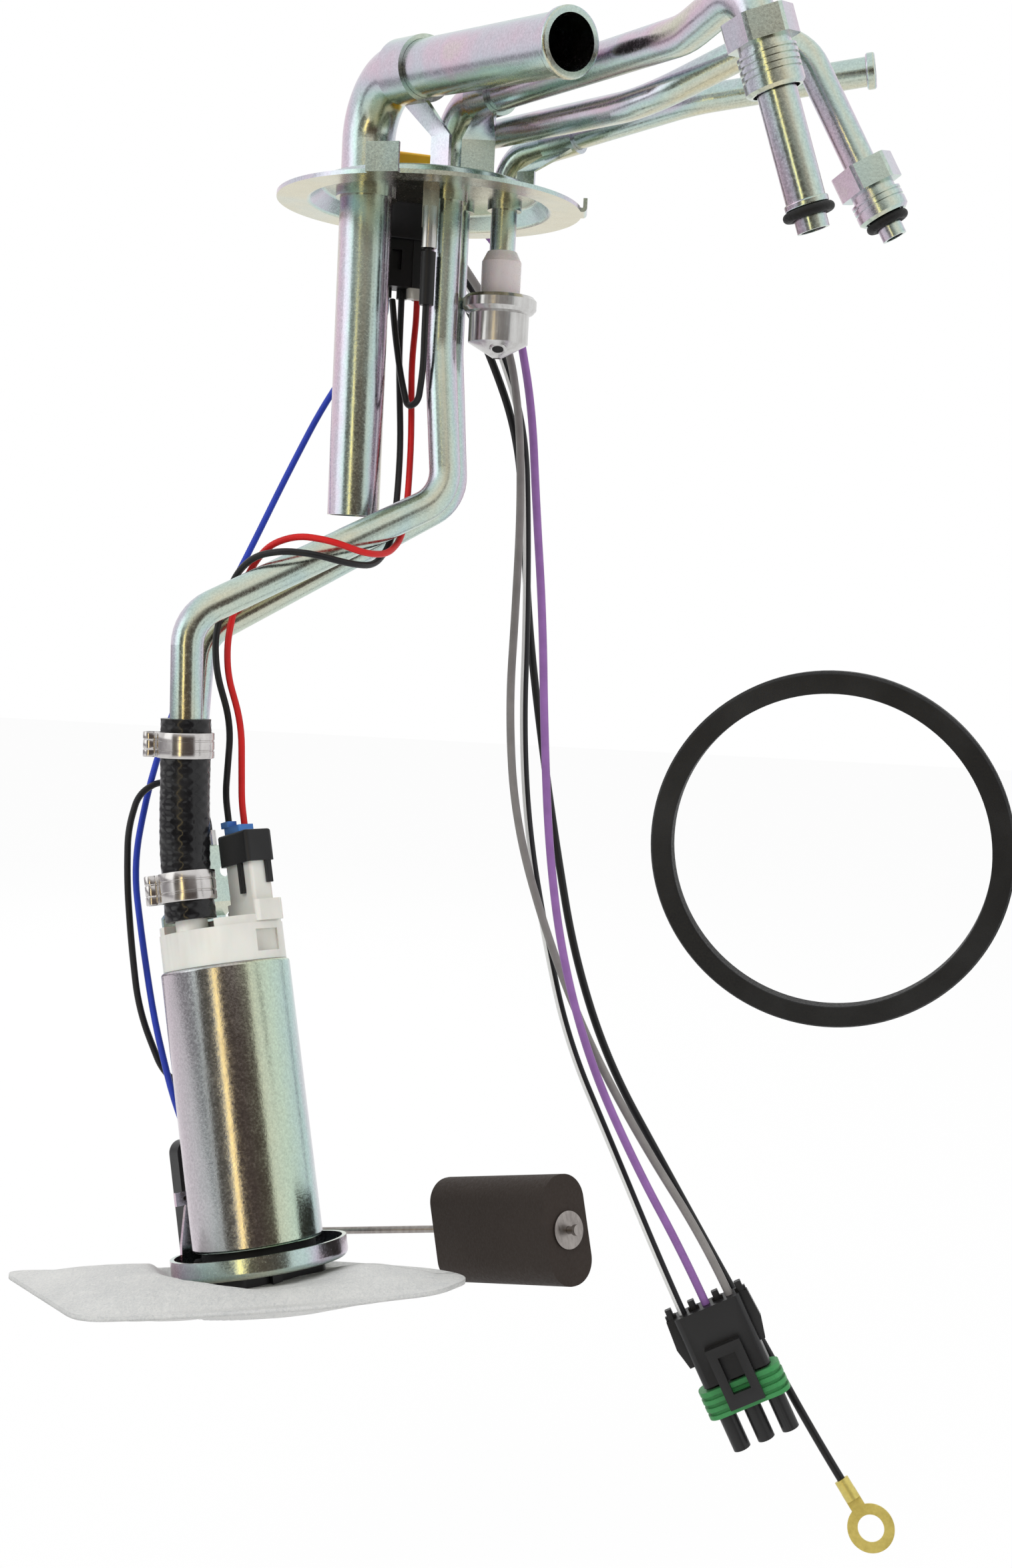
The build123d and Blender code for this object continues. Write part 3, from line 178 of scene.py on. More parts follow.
class Recipe(Nodes):
    """A material's node tree while it is being put together."""

    def __init__(self, name: str) -> None:
        """Starts an empty material.

        Args:
            name: the material's name.
        """
        self.material = bpy.data.materials.new(name)
        super().__init__(self.material)
        self.shader = self.node("ShaderNodeBsdfPrincipled")
        self.output = self.node("ShaderNodeOutputMaterial", {"Surface": self.shader.outputs["BSDF"]})
        self.place = self.node("ShaderNodeTexCoord").outputs["Object"]

    def pattern(self, scale: float, stretch: Point = (1, 1, 1), texture: Texture = Texture.NOISE,
                **inputs: float) -> Socket:
        """Adds a pattern in object space.

        Args:
            scale: repeats to the metre.
            stretch: factors on the three axes.
            texture: which pattern.
            inputs: values for the node's other inputs.

        Returns:
            The pattern's socket.
        """
        kind, output = texture.value
        mapping = self.node("ShaderNodeMapping", {"Vector": self.place, "Scale": stretch})
        made = self.node(kind, {"Vector": mapping.outputs["Vector"], "Scale": scale, **inputs})
        return made.outputs[output]

    def sums(self, *terms: tuple[Socket, float], start: float = 0.0) -> Value:
        """Weighted sum of values.

        Args:
            terms: pairs of an output and its weight.
            start: constant that is added.

        Returns:
            The socket of the sum.
        """
        total: Value = start
        for socket, weight in terms:
            total = self.reckon("MULTIPLY_ADD", socket, weight, total)
        return total

    def facing(self, direction: Point) -> Socket:
        """How far the surface faces a direction of the row frame, from -1 to 1."""
        inputs = {0: self.node("ShaderNodeNewGeometry").outputs["Normal"], 1: direction}
        return self.node("ShaderNodeVectorMath", inputs, operation="DOT_PRODUCT").outputs["Value"]

    def edge(self, most: float, span: Pair) -> Socket:
        """Share of an edge's rubbed look, from 0 to the most, over a range of pointedness."""
        return self.between(self.node("ShaderNodeNewGeometry").outputs["Pointiness"], (0.0, most), span)

    def ramp(self, factor: Value, stops: Stops) -> Socket:
        """Colours along a factor.

        Args:
            factor: value from 0 to 1.
            stops: pairs of a place and a colour.

        Returns:
            The socket of the colour.
        """
        made = self.node("ShaderNodeValToRGB", {"Fac": factor})
        elements = made.color_ramp.elements
        while len(elements) < len(stops):
            elements.new(0.5)
        for element, (place, colour) in zip(elements, stops):
            element.position = place
            element.color = (*colour, 1)
        return made.outputs["Color"]

    def worn(self, colour: Socket, grain: Socket, out: Pair, span: Pair) -> Socket:
        """A colour that the grain makes darker and lighter.

        Args:
            colour: the colour.
            grain: the grain's pattern.
            out: least and most of the colour's value.
            span: range of the grain that this covers.

        Returns:
            The socket of the colour.
        """
        value = self.between(grain, out, span)
        return self.node("ShaderNodeHueSaturation", {"Color": colour, "Value": value}).outputs["Color"]

    def blended(self, factor: Socket, *colours: Value) -> Socket:
        """Mix of two colours.

        Args:
            factor: share of the second.
            colours: the two colours or sockets.

        Returns:
            The socket of the mix.
        """
        made = self.node("ShaderNodeMix", {"Factor": factor}, data_type="RGBA")
        for socket, colour in zip((s for s in made.inputs if s.type == "RGBA"), colours):
            self.feed(socket, colour)
        return next(s for s in made.outputs if s.type == "RGBA")

    def bump(self, height: Value, strength: float, depth: float, under: Socket | None = None) -> Socket:
        """Relief from a height.

        Args:
            height: the height's socket.
            strength: share of the relief.
            depth: its depth in metres.
            under: relief that lies under this one.

        Returns:
            The socket of the normal.
        """
        inputs = {"Height": height, "Strength": strength, "Distance": depth}
        if under is not None:
            inputs["Normal"] = under
        return self.node("ShaderNodeBump", inputs).outputs["Normal"]

    def done(self, **inputs: Value) -> Material:
        """Feeds the shader.

        Args:
            inputs: what its inputs are fed, with spaces written as underscores.

        Returns:
            The finished material.
        """
        for key, value in inputs.items():
            self.feed(self.shader.inputs[key.replace("_", " ")], value)
        return self.material


@dataclass(frozen=True)
class PlatedSteel:
    """Zinc plating with its oil-film colours over grainy steel; the film's hue also shifts on surfaces turned
    across the view and on upward faces, as painted sheen.
    """

    name: str
    film_and_sheen: Stops
    roughness: Pair = (0.15, 0.30)
    grain: float = 1500.0
    grain_depth: float = 0.000035
    patches: Pair = (24.0, 168.0)
    stretch: Point = (1, 1, 0.45)
    # Weights of the painted sheen: film shift on surfaces turned across the view (turn) and on upward faces
    # (lift).
    turn: float = 0.62
    lift: float = 0.10
    clouds: Pair = (0.85, 0.16)
    shift: float = -0.38

    def make(self) -> Material:
        """Makes the material.

        Returns:
            The material.
        """
        r = Recipe(self.name)
        broad = r.pattern(self.patches[0], self.stretch, Detail=3.0, Roughness=0.55, Distortion=0.6)
        small = r.pattern(self.patches[1], Detail=4.0, Roughness=0.6)
        grain = r.pattern(self.grain, Detail=3.0, Roughness=0.7)
        # Painted sheen: the film's hue follows how far the surface turns across the view and how far it faces up,
        # on top of the random plating clouds.
        side = r.reckon("ABSOLUTE", r.facing(ACROSS_FRONT))
        film_and_sheen = r.sums((side, self.turn), (r.facing(UPWARD), self.lift), (broad, self.clouds[0]),
                      (small, self.clouds[1]), start=self.shift)
        return r.done(Base_Color=r.worn(r.ramp(film_and_sheen, self.film_and_sheen), grain, (0.80, 1.05), (0.35, 0.7)),
                      Roughness=r.between(r.sums((grain, 0.6), (small, 0.4)), self.roughness),
                      Normal=r.bump(grain, 0.55, self.grain_depth), Metallic=1.0)


@dataclass(frozen=True)
class CanSteel:
    """The pump can's plating: smooth and bright, with soft green and rose bands and a fine sparkle; the bands
    shift with how far the surface faces left or right across the view, rose and grey on the left and green on the
    right, as painted sheen.
    """

    name: str
    film_and_sheen: Stops
    roughness: Pair = (0.10, 0.27)
    sparkle: float = 1300.0
    # Weight of the painted sheen across the view.
    turn: float = 0.42
    clouds: Pair = (0.30, 0.06)
    shift: float = 0.32

    def make(self) -> Material:
        """Makes the material.

        Returns:
            The material.
        """
        r = Recipe(self.name)
        broad = r.pattern(16.0, (1, 1, 0.3), Detail=2.0, Distortion=0.5)
        small = r.pattern(170.0, Detail=4.0, Roughness=0.6)
        grain = r.pattern(self.sparkle, Detail=3.0, Roughness=0.75)
        # Painted sheen: the film's hue turns with how far the surface faces left or right across the view, on top
        # of the random clouds.
        film_and_sheen = r.sums((r.facing(ACROSS_FRONT), self.turn), (broad, self.clouds[0]), (small, self.clouds[1]),
                      start=self.shift)
        return r.done(Base_Color=r.worn(r.ramp(film_and_sheen, self.film_and_sheen), grain, (0.78, 1.08), (0.35, 0.68)),
                      Roughness=r.between(r.sums((grain, 0.6), (small, 0.4)), self.roughness),
                      Normal=r.bump(grain, 0.6, 0.00005), Metallic=1.0)


@dataclass(frozen=True)
class BareMetal:
    """Plain metal with fine drawn lines and dull spots."""

    name: str
    light: Colour
    dark: Colour
    roughness: Pair
    lines: Point = (1, 1, 0.05)
    scale: float = 900.0
    metal: float = 1.0

    def make(self) -> Material:
        """Makes the material.

        Returns:
            The material.
        """
        r = Recipe(self.name)
        drawn = r.pattern(self.scale, self.lines, Detail=4.0, Roughness=0.6)
        spots = r.pattern(130.0, Detail=5.0, Roughness=0.65)
        mix = r.sums((drawn, 0.5), (spots, 0.5))
        return r.done(Base_Color=r.ramp(mix, ((0.36, self.dark), (0.62, self.light))),
                      Roughness=r.between(mix, self.roughness), Normal=r.bump(drawn, 0.4, 0.00003),
                      Metallic=self.metal)


@dataclass(frozen=True)
class Moulding:
    """Moulded plastic: fine spark texture, faint flow marks, and edges rubbed a little lighter."""

    name: str
    colour: Colour
    rubbed: Colour
    roughness: Pair = (0.30, 0.48)
    spark: float = 2600.0
    relief: float = 0.00003
    clear: float = 0.0
    glow: float = 0.0
    shine: float = 0.5

    def make(self) -> Material:
        """Makes the material.

        Returns:
            The material.
        """
        r = Recipe(self.name)
        spark = r.pattern(self.spark, Detail=2.0)
        flow = r.pattern(90.0, (1, 1, 0.4), Detail=5.0, Roughness=0.6)
        tone = r.ramp(flow, ((0.3, tuple(c * 0.86 for c in self.colour)), (0.7, self.colour)))
        return r.done(Base_Color=r.blended(r.edge(0.55, (0.51, 0.60)), tone, self.rubbed),
                      Roughness=r.between(r.sums((spark, 0.4), (flow, 0.6)), self.roughness),
                      Normal=r.bump(spark, 0.45, self.relief, r.bump(flow, 0.25, 0.00015)),
                      Transmission_Weight=self.clear, Subsurface_Weight=self.glow, Subsurface_Scale=0.002,
                      Specular_IOR_Level=self.shine)


@dataclass(frozen=True)
class Rubber:
    """Matt rubber with a pale bloom in patches and fine pits."""

    name: str
    colour: Colour
    bloom: Colour
    roughness: Pair = (0.48, 0.72)
    lean: float = 0.12
    share: float = 0.35
    sheen: float = 0.15

    def make(self) -> Material:
        """Makes the material.

        Returns:
            The material.
        """
        r = Recipe(self.name)
        cloud = r.pattern(45.0, Detail=5.0, Roughness=0.6)
        pits = r.pattern(1700.0, Detail=3.0, Roughness=0.6)
        dust = r.between(r.sums((cloud, 0.8), (pits, 0.25), (r.facing(UPWARD), self.lean)), (0.0, self.share),
                         (0.45, 0.8))
        return r.done(Base_Color=r.blended(dust, self.colour, self.bloom),
                      Roughness=r.between(pits, self.roughness), Normal=r.bump(pits, 0.5, 0.00006),
                      Sheen_Weight=self.sheen, Sheen_Roughness=0.5, Specular_IOR_Level=0.3)


@dataclass(frozen=True)
class Braid:
    """Black skin over the hose's braid: smooth, glossy, a little dusty."""

    name: str
    dark: Colour = (0.005, 0.005, 0.006)
    dusty: Colour = (0.014, 0.014, 0.015)

    def make(self) -> Material:
        """Makes the material.

        Returns:
            The material.
        """
        r = Recipe(self.name)
        yarn = r.pattern(1500.0, (1, 1, 0.6), Detail=3.0, Roughness=0.7)
        cloud = r.pattern(160.0, Detail=4.0, Roughness=0.6)
        return r.done(Base_Color=r.ramp(cloud, ((0.35, self.dark), (0.72, self.dusty))),
                      Roughness=r.between(cloud, (0.17, 0.34)), Normal=r.bump(yarn, 0.3, 0.00005),
                      Coat_Weight=0.12, Coat_Roughness=0.12, Specular_IOR_Level=0.3)


@dataclass(frozen=True)
class Felt:
    """White melt-blown felt: tangled fibres and faint creases, with painted shade: greyer in the hollows of the
    fibre relief and paler on its raised parts.
    """

    name: str
    # Painted shade: dark for the hollows of the fibre relief, light and raised for its higher parts.
    dark: Colour = (0.52, 0.53, 0.53)
    light: Colour = (0.70, 0.70, 0.68)
    raised: Colour = (0.76, 0.76, 0.74)

    def make(self) -> Material:
        """Makes the material.

        Returns:
            The material.
        """
        r = Recipe(self.name)
        fibre = r.pattern(900.0, (1, 0.35, 1), Detail=6.0, Roughness=0.75, Distortion=2.2)
        tangle = r.pattern(420.0, Detail=5.0, Roughness=0.7, Distortion=3.0)
        cloud = r.pattern(60.0, Detail=3.0)
        mix = r.sums((fibre, 0.45), (tangle, 0.35), (cloud, 0.2))
        # The colour follows the same relief as the bump: painted shade in the hollows and paler raised fibres.
        return r.done(Base_Color=r.ramp(mix, ((0.38, self.dark), (0.56, self.light), (0.7, self.raised))),
                      Roughness=r.between(mix, (0.75, 0.95), (0.3, 0.7)), Normal=r.bump(mix, 0.8, 0.0005),
                      Sheen_Weight=0.1, Sheen_Roughness=0.6, Specular_IOR_Level=0.2)


@dataclass(frozen=True)
class Foam:
    """Dense closed-cell foam of the float, with pores and scuffs."""

    name: str
    colour: Colour = (0.020, 0.0145, 0.012)
    scuff: Colour = (0.05, 0.039, 0.033)

    def make(self) -> Material:
        """Makes the material.

        Returns:
            The material.
        """
        r = Recipe(self.name)
        pores = r.pattern(1500.0, texture=Texture.PORES, Randomness=1.0)
        cloud = r.pattern(70.0, Detail=6.0, Roughness=0.65)
        fine = r.pattern(1100.0, Detail=3.0, Roughness=0.7)
        tone = r.ramp(r.sums((cloud, 0.7), (fine, 0.3)), (
            (0.36, tuple(c * 0.8 for c in self.colour)), (0.6, self.colour), (0.78, self.scuff)))
        return r.done(Base_Color=r.blended(r.edge(0.45, (0.505, 0.56)), tone, self.scuff),
                      Roughness=r.between(fine, (0.58, 0.82), (0.3, 0.7)),
                      Normal=r.bump(r.sums((pores, 0.6), (fine, 0.4)), 0.6, 0.00012), Specular_IOR_Level=0.22)


@dataclass(frozen=True)
class Insulation:
    """Extruded wire insulation, with a stripe along the side where one is wanted."""

    name: str
    colour: Colour
    stripe: Colour | None = None
    roughness: Pair = (0.28, 0.42)
    stripe_side: Point = (-0.84, -0.54, 0.0)
    stripe_edge: Pair = (0.70, 0.76)
    shine: float = 0.26

    def make(self) -> Material:
        """Makes the material.

        Returns:
            The material.
        """
        r = Recipe(self.name)
        cloud = r.pattern(120.0, Detail=4.0, Roughness=0.6)
        fine = r.pattern(2200.0, Detail=2.0)
        tone = r.ramp(cloud, ((0.3, tuple(c * 0.78 for c in self.colour)), (0.7, self.colour)))
        if self.stripe is not None:
            side = r.between(r.facing(self.stripe_side), (0.0, 1.0), self.stripe_edge)
            tone = r.blended(side, tone, self.stripe)
        return r.done(Base_Color=tone, Roughness=r.between(fine, self.roughness),
                      Normal=r.bump(fine, 0.3, 0.00003), Specular_IOR_Level=self.shine)


# Ramps of the plating's film colour: random clouds move along them, and the facing terms push surfaces turned
# across the view towards rose for the zinc, and to rose and grey on the left and green on the right for the can,
# as painted sheen.
ZINC_FILM_AND_SHEEN: Stops = (
    (0.00, (0.66, 0.62, 0.44)),
    (0.16, (0.62, 0.64, 0.52)),
    (0.32, (0.56, 0.66, 0.58)),
    (0.46, (0.50, 0.64, 0.62)),
    (0.60, (0.58, 0.58, 0.66)),
    (0.76, (0.68, 0.53, 0.63)),
    (0.90, (0.64, 0.62, 0.52)),
)
CAN_FILM_AND_SHEEN: Stops = (
    (0.00, (0.62, 0.46, 0.57)),
    (0.14, (0.54, 0.49, 0.53)),
    (0.28, (0.46, 0.49, 0.49)),
    (0.52, (0.52, 0.49, 0.45)),
    (0.62, (0.58, 0.62, 0.46)),
    (0.74, (0.54, 0.66, 0.53)),
    (0.86, (0.46, 0.62, 0.60)),
    (0.96, (0.62, 0.49, 0.60)),
)
EVEN: Point = (1, 1, 1)
FINISHES = {
    "zinc_plating": PlatedSteel("zinc_film_and_sheen", ZINC_FILM_AND_SHEEN),
    "can_plating": CanSteel("can_film_and_sheen", CAN_FILM_AND_SHEEN),
    "tinned_steel": BareMetal("tinned_steel", (0.62, 0.62, 0.61), (0.46, 0.45, 0.44), (0.14, 0.28)),
    "bare_steel": BareMetal("drawn_steel", (0.40, 0.37, 0.35), (0.22, 0.20, 0.19), (0.26, 0.45)),
    "stainless": BareMetal("stainless_band", (0.66, 0.64, 0.63), (0.50, 0.48, 0.47), (0.14, 0.26), (1, 1, 0.3),
                           260.0),
    "brass": BareMetal("plain_brass", (0.68, 0.57, 0.17), (0.56, 0.46, 0.12), (0.3, 0.46), EVEN, metal=0.55),
    "inner_steel": BareMetal("turned_steel", (0.56, 0.56, 0.56), (0.42, 0.42, 0.43), (0.2, 0.35)),
    "casting": BareMetal("die_casting", (0.62, 0.62, 0.61), (0.50, 0.50, 0.50), (0.4, 0.55), EVEN, 500.0),
    "winding": BareMetal("lacquered_winding", (0.55, 0.26, 0.12), (0.34, 0.15, 0.07), (0.25, 0.4), EVEN),
    "magnet": BareMetal("sintered_ferrite", (0.15, 0.15, 0.16), (0.09, 0.09, 0.10), (0.5, 0.7), EVEN),
    "white_moulding": Moulding("ivory_nylon", (0.78, 0.77, 0.71), (0.86, 0.85, 0.80), (0.28, 0.42), glow=0.25),
    "black_moulding": Moulding("black_nylon", (0.008, 0.008, 0.0085), (0.024, 0.024, 0.025), shine=0.34),
    "orange_moulding": Moulding("amber_nylon", (1.0, 0.60, 0.02), (1.0, 0.68, 0.10), glow=0.3),
    "milky_moulding": Moulding("milky_nylon", (0.74, 0.67, 0.68), (0.84, 0.79, 0.79), (0.2, 0.34), glow=0.4),
    "clear_moulding": Moulding("clear_nylon", (0.62, 0.58, 0.50), (0.8, 0.78, 0.72), clear=0.35),
    "blue_moulding": Moulding("blue_nylon", (0.025, 0.16, 0.56), (0.10, 0.30, 0.70)),
    "impeller_moulding": Moulding("phenolic", (0.10, 0.085, 0.07), (0.18, 0.15, 0.12)),
    "carbon": Moulding("carbon_brush", (0.04, 0.04, 0.042), (0.10, 0.10, 0.10), (0.5, 0.7)),
    "card": Moulding("resistor_ceramic", (0.52, 0.42, 0.22), (0.62, 0.52, 0.32)),
    "black_rubber": Rubber("black_nitrile", (0.006, 0.006, 0.006), (0.045, 0.045, 0.045), sheen=0.0),
    "green_rubber": Rubber("green_silicone", (0.035, 0.24, 0.065), (0.14, 0.38, 0.18), (0.35, 0.5), sheen=0.05),
    "hose_braid": Braid("braided_cover"),
    "float_foam": Foam("float_foam_skin"),
    "sock_felt": Felt("strainer_felt"),
    "purple_sleeve": Insulation("purple_insulation", (0.30, 0.14, 0.40)),
    "grey_sleeve": Insulation("grey_insulation", (0.25, 0.235, 0.225)),
    "striped_sleeve": Insulation("striped_insulation", (0.016, 0.016, 0.018), (0.75, 0.75, 0.73)),
    "black_sleeve": Insulation("black_insulation", (0.014, 0.014, 0.015)),
    "red_sleeve": Insulation("red_insulation", (0.66, 0.015, 0.015)),
    "blue_sleeve": Insulation("blue_insulation", (0.025, 0.055, 0.46)),
}


class Finishes:
    """The finished materials of the module, by the record's slot, and the pieces that wear them."""

    def __init__(self) -> None:
        """Makes every material."""
        self.materials = {slot: finish.make() for slot, finish in FINISHES.items()}

    def dress(self, piece: Piece, slot: str) -> None:
        """Puts one slot's material on a whole piece."""
        piece.data.materials.clear()
        piece.data.materials.append(self.materials[slot])

    def dress_nodes(self, frame: dict) -> None:
        """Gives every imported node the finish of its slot."""
        for part in frame["record"]["subparts"]:
            self.dress(frame["nodes"][part["node"]], part["material_slot"])

    def settle(self, piece: Piece, slot: str, *replaces: str) -> Piece:
        """Dresses a new piece, lets it ride on the module and hides the nodes that it stands for.

        Args:
            piece: the piece.
            slot: the record's slot.
            replaces: nodes that it stands for.

        Returns:
            The same piece.
        """
        self.dress(piece, slot)
        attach(piece, ROOT)
        if replaces:
            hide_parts(*replaces)
        return piece


def linked(name: str, data: bpy.types.ID) -> Piece:
    """Makes an object of its data and puts it in the scene.

    Args:
        name: the object's name.
        data: its mesh, curve, camera or light.

    Returns:
        The object.
    """
    made = bpy.data.objects.new(name, data)
    bpy.context.scene.collection.objects.link(made)
    return made


def link_mesh(name: str, vertices: Sequence[Vector], faces: Sequence[Sequence[int]],
              sharp: float | None = None) -> Piece:
    """Makes a smooth-shaded mesh object.

    Args:
        name: the piece's name.
        vertices: points in the row frame, in metres.
        faces: vertex numbers of each face.
        sharp: angle in degrees from which an edge stays sharp.

    Returns:
        The linked object.
    """
    mesh = bpy.data.meshes.new(name)
    mesh.from_pydata([tuple(v) for v in vertices], [], [tuple(f) for f in faces])
    mesh.validate()
    mesh.shade_smooth()
    if sharp is not None:
        mesh.set_sharp_from_angle(angle=math.radians(sharp))
    return linked(name, mesh)


def ring_faces(rows: int, around: int, closed: bool = False) -> list[tuple[int, ...]]:
    """Faces between rows of points that each go round once.

    Args:
        rows: how many rows.
        around: points in each row.
        closed: whether the last row joins the first.

    Returns:
        The faces.
    """
    faces = []
    for row in range(rows if closed else rows - 1):
        low, high = row * around, (row + 1) % rows * around
        for step in range(around):
            after = (step + 1) % around
            faces.append((low + step, low + after, high + after, high + step))
    return faces


def circle(count: int) -> list[Pair]:
    """Cosine and sine of evenly spaced angles, once round."""
    angles = [FULL_TURN * step / count for step in range(count)]
    return [(math.cos(angle), math.sin(angle)) for angle in angles]


def wave(turns: float) -> float:
    """Cosine of a number of full turns."""
    return math.cos(FULL_TURN * turns)


def clamped(value: float) -> float:
    """The value, held between 0 and 1."""
    return max(0.0, min(1.0, value))


def squared(direction: Vector, to: Vector) -> Vector:
    """The direction turned square to a unit vector, at unit length."""
    return (direction - to * direction.dot(to)).normalized()


def run(line: Sequence[Vector]) -> float:
    """Length of a line of points."""
    return sum((after - here).length for here, after in zip(line, line[1:]))


def smooth_curve(name: str, points: Sequence[Vector], steps: int) -> bpy.types.Curve:
    """Smooth curve along given points.

    Args:
        name: the curve's name.
        points: control points, in metres.
        steps: points to each span.

    Returns:
        The curve.
    """
    data = bpy.data.curves.new(name, "CURVE")
    data.dimensions = "3D"
    data.resolution_u = steps
    spline = data.splines.new("NURBS")
    spline.points.add(len(points) - 1)
    for knot, point in zip(spline.points, points):
        knot.co = (*point, 1.0)
    spline.order_u = 3
    spline.use_endpoint_u = True
    return data


def smooth_line(points: Sequence[Vector], steps: int) -> list[Vector]:
    """Points along the smooth curve of given points.

    Args:
        points: control points, in metres.
        steps: points to each span.

    Returns:
        The line's points in order.
    """
    data = smooth_curve("guide", points, steps)
    holder = bpy.data.objects.new("guide", data)
    mesh = bpy.data.meshes.new_from_object(holder)
    line = [v.co.copy() for v in mesh.vertices]
    bpy.data.objects.remove(holder)
    bpy.data.curves.remove(data)
    bpy.data.meshes.remove(mesh)
    return line


def evenly(line: Sequence[Sequence[float]], count: int, end: bool = True) -> np.ndarray:
    """The same line with its points evenly spaced.

    Args:
        line: points in order.
        count: how many points to give back.
        end: whether the line's end is one of them.

    Returns:
        The points, one to a row.
    """
    array = np.array([tuple(point) for point in line])
    travelled = np.concatenate([[0.0], np.cumsum(np.linalg.norm(np.diff(array, axis=0), axis=1))])
    wanted = np.linspace(0.0, travelled[-1], count, endpoint=end)
    return np.stack([np.interp(wanted, travelled, column) for column in array.T], axis=1)


def carried_frames(line: Sequence[Vector], start: Vector) -> list[tuple[Vector, Vector]]:
    """Two directions square to a line at each of its points, carried along without twist.

    Args:
        line: points in order.
        start: rough first direction.

    Returns:
        Pairs of unit directions.
    """
    frames = []
    side = start
    for number in range(len(line)):
        ahead, behind = line[min(number + 1, len(line) - 1)], line[max(number - 1, 0)]
        tangent = (ahead - behind).normalized()
        side = squared(side, tangent)
        frames.append((side, tangent.cross(side)))
    return frames


@dataclass
class Camera:
    """Camera at the photograph's place: position in the row frame, lens, pitch and roll."""

    seat: Point = (31.87, -548.73, -110.46)
    lens: float = 40.87
    sensor: float = 36.0
    pitch: float = 6.4
    roll: float = 3.0
    sight: Pair = (0.01, 20.0)

    def build(self) -> Piece:
        """Makes the camera and gives it to the scene.

        Returns:
            The camera's object.
        """
        data = bpy.data.cameras.new("photograph_camera")
        data.lens = self.lens
        data.sensor_width = self.sensor
        data.clip_start, data.clip_end = self.sight
        tilt, bank = math.radians(self.pitch), math.radians(self.roll)
        right = Vector((math.cos(bank), math.sin(bank) * math.sin(tilt), math.sin(bank) * math.cos(tilt)))
        up = Vector((-math.sin(bank), math.cos(bank) * math.sin(tilt), math.cos(bank) * math.cos(tilt)))
        turn = Matrix((right, up, right.cross(up))).transposed().to_4x4()
        made = linked("photograph_camera", data)
        made.matrix_world = Matrix.Translation(Vector(self.seat) * MM) @ turn
        bpy.context.scene.camera = made
        return made


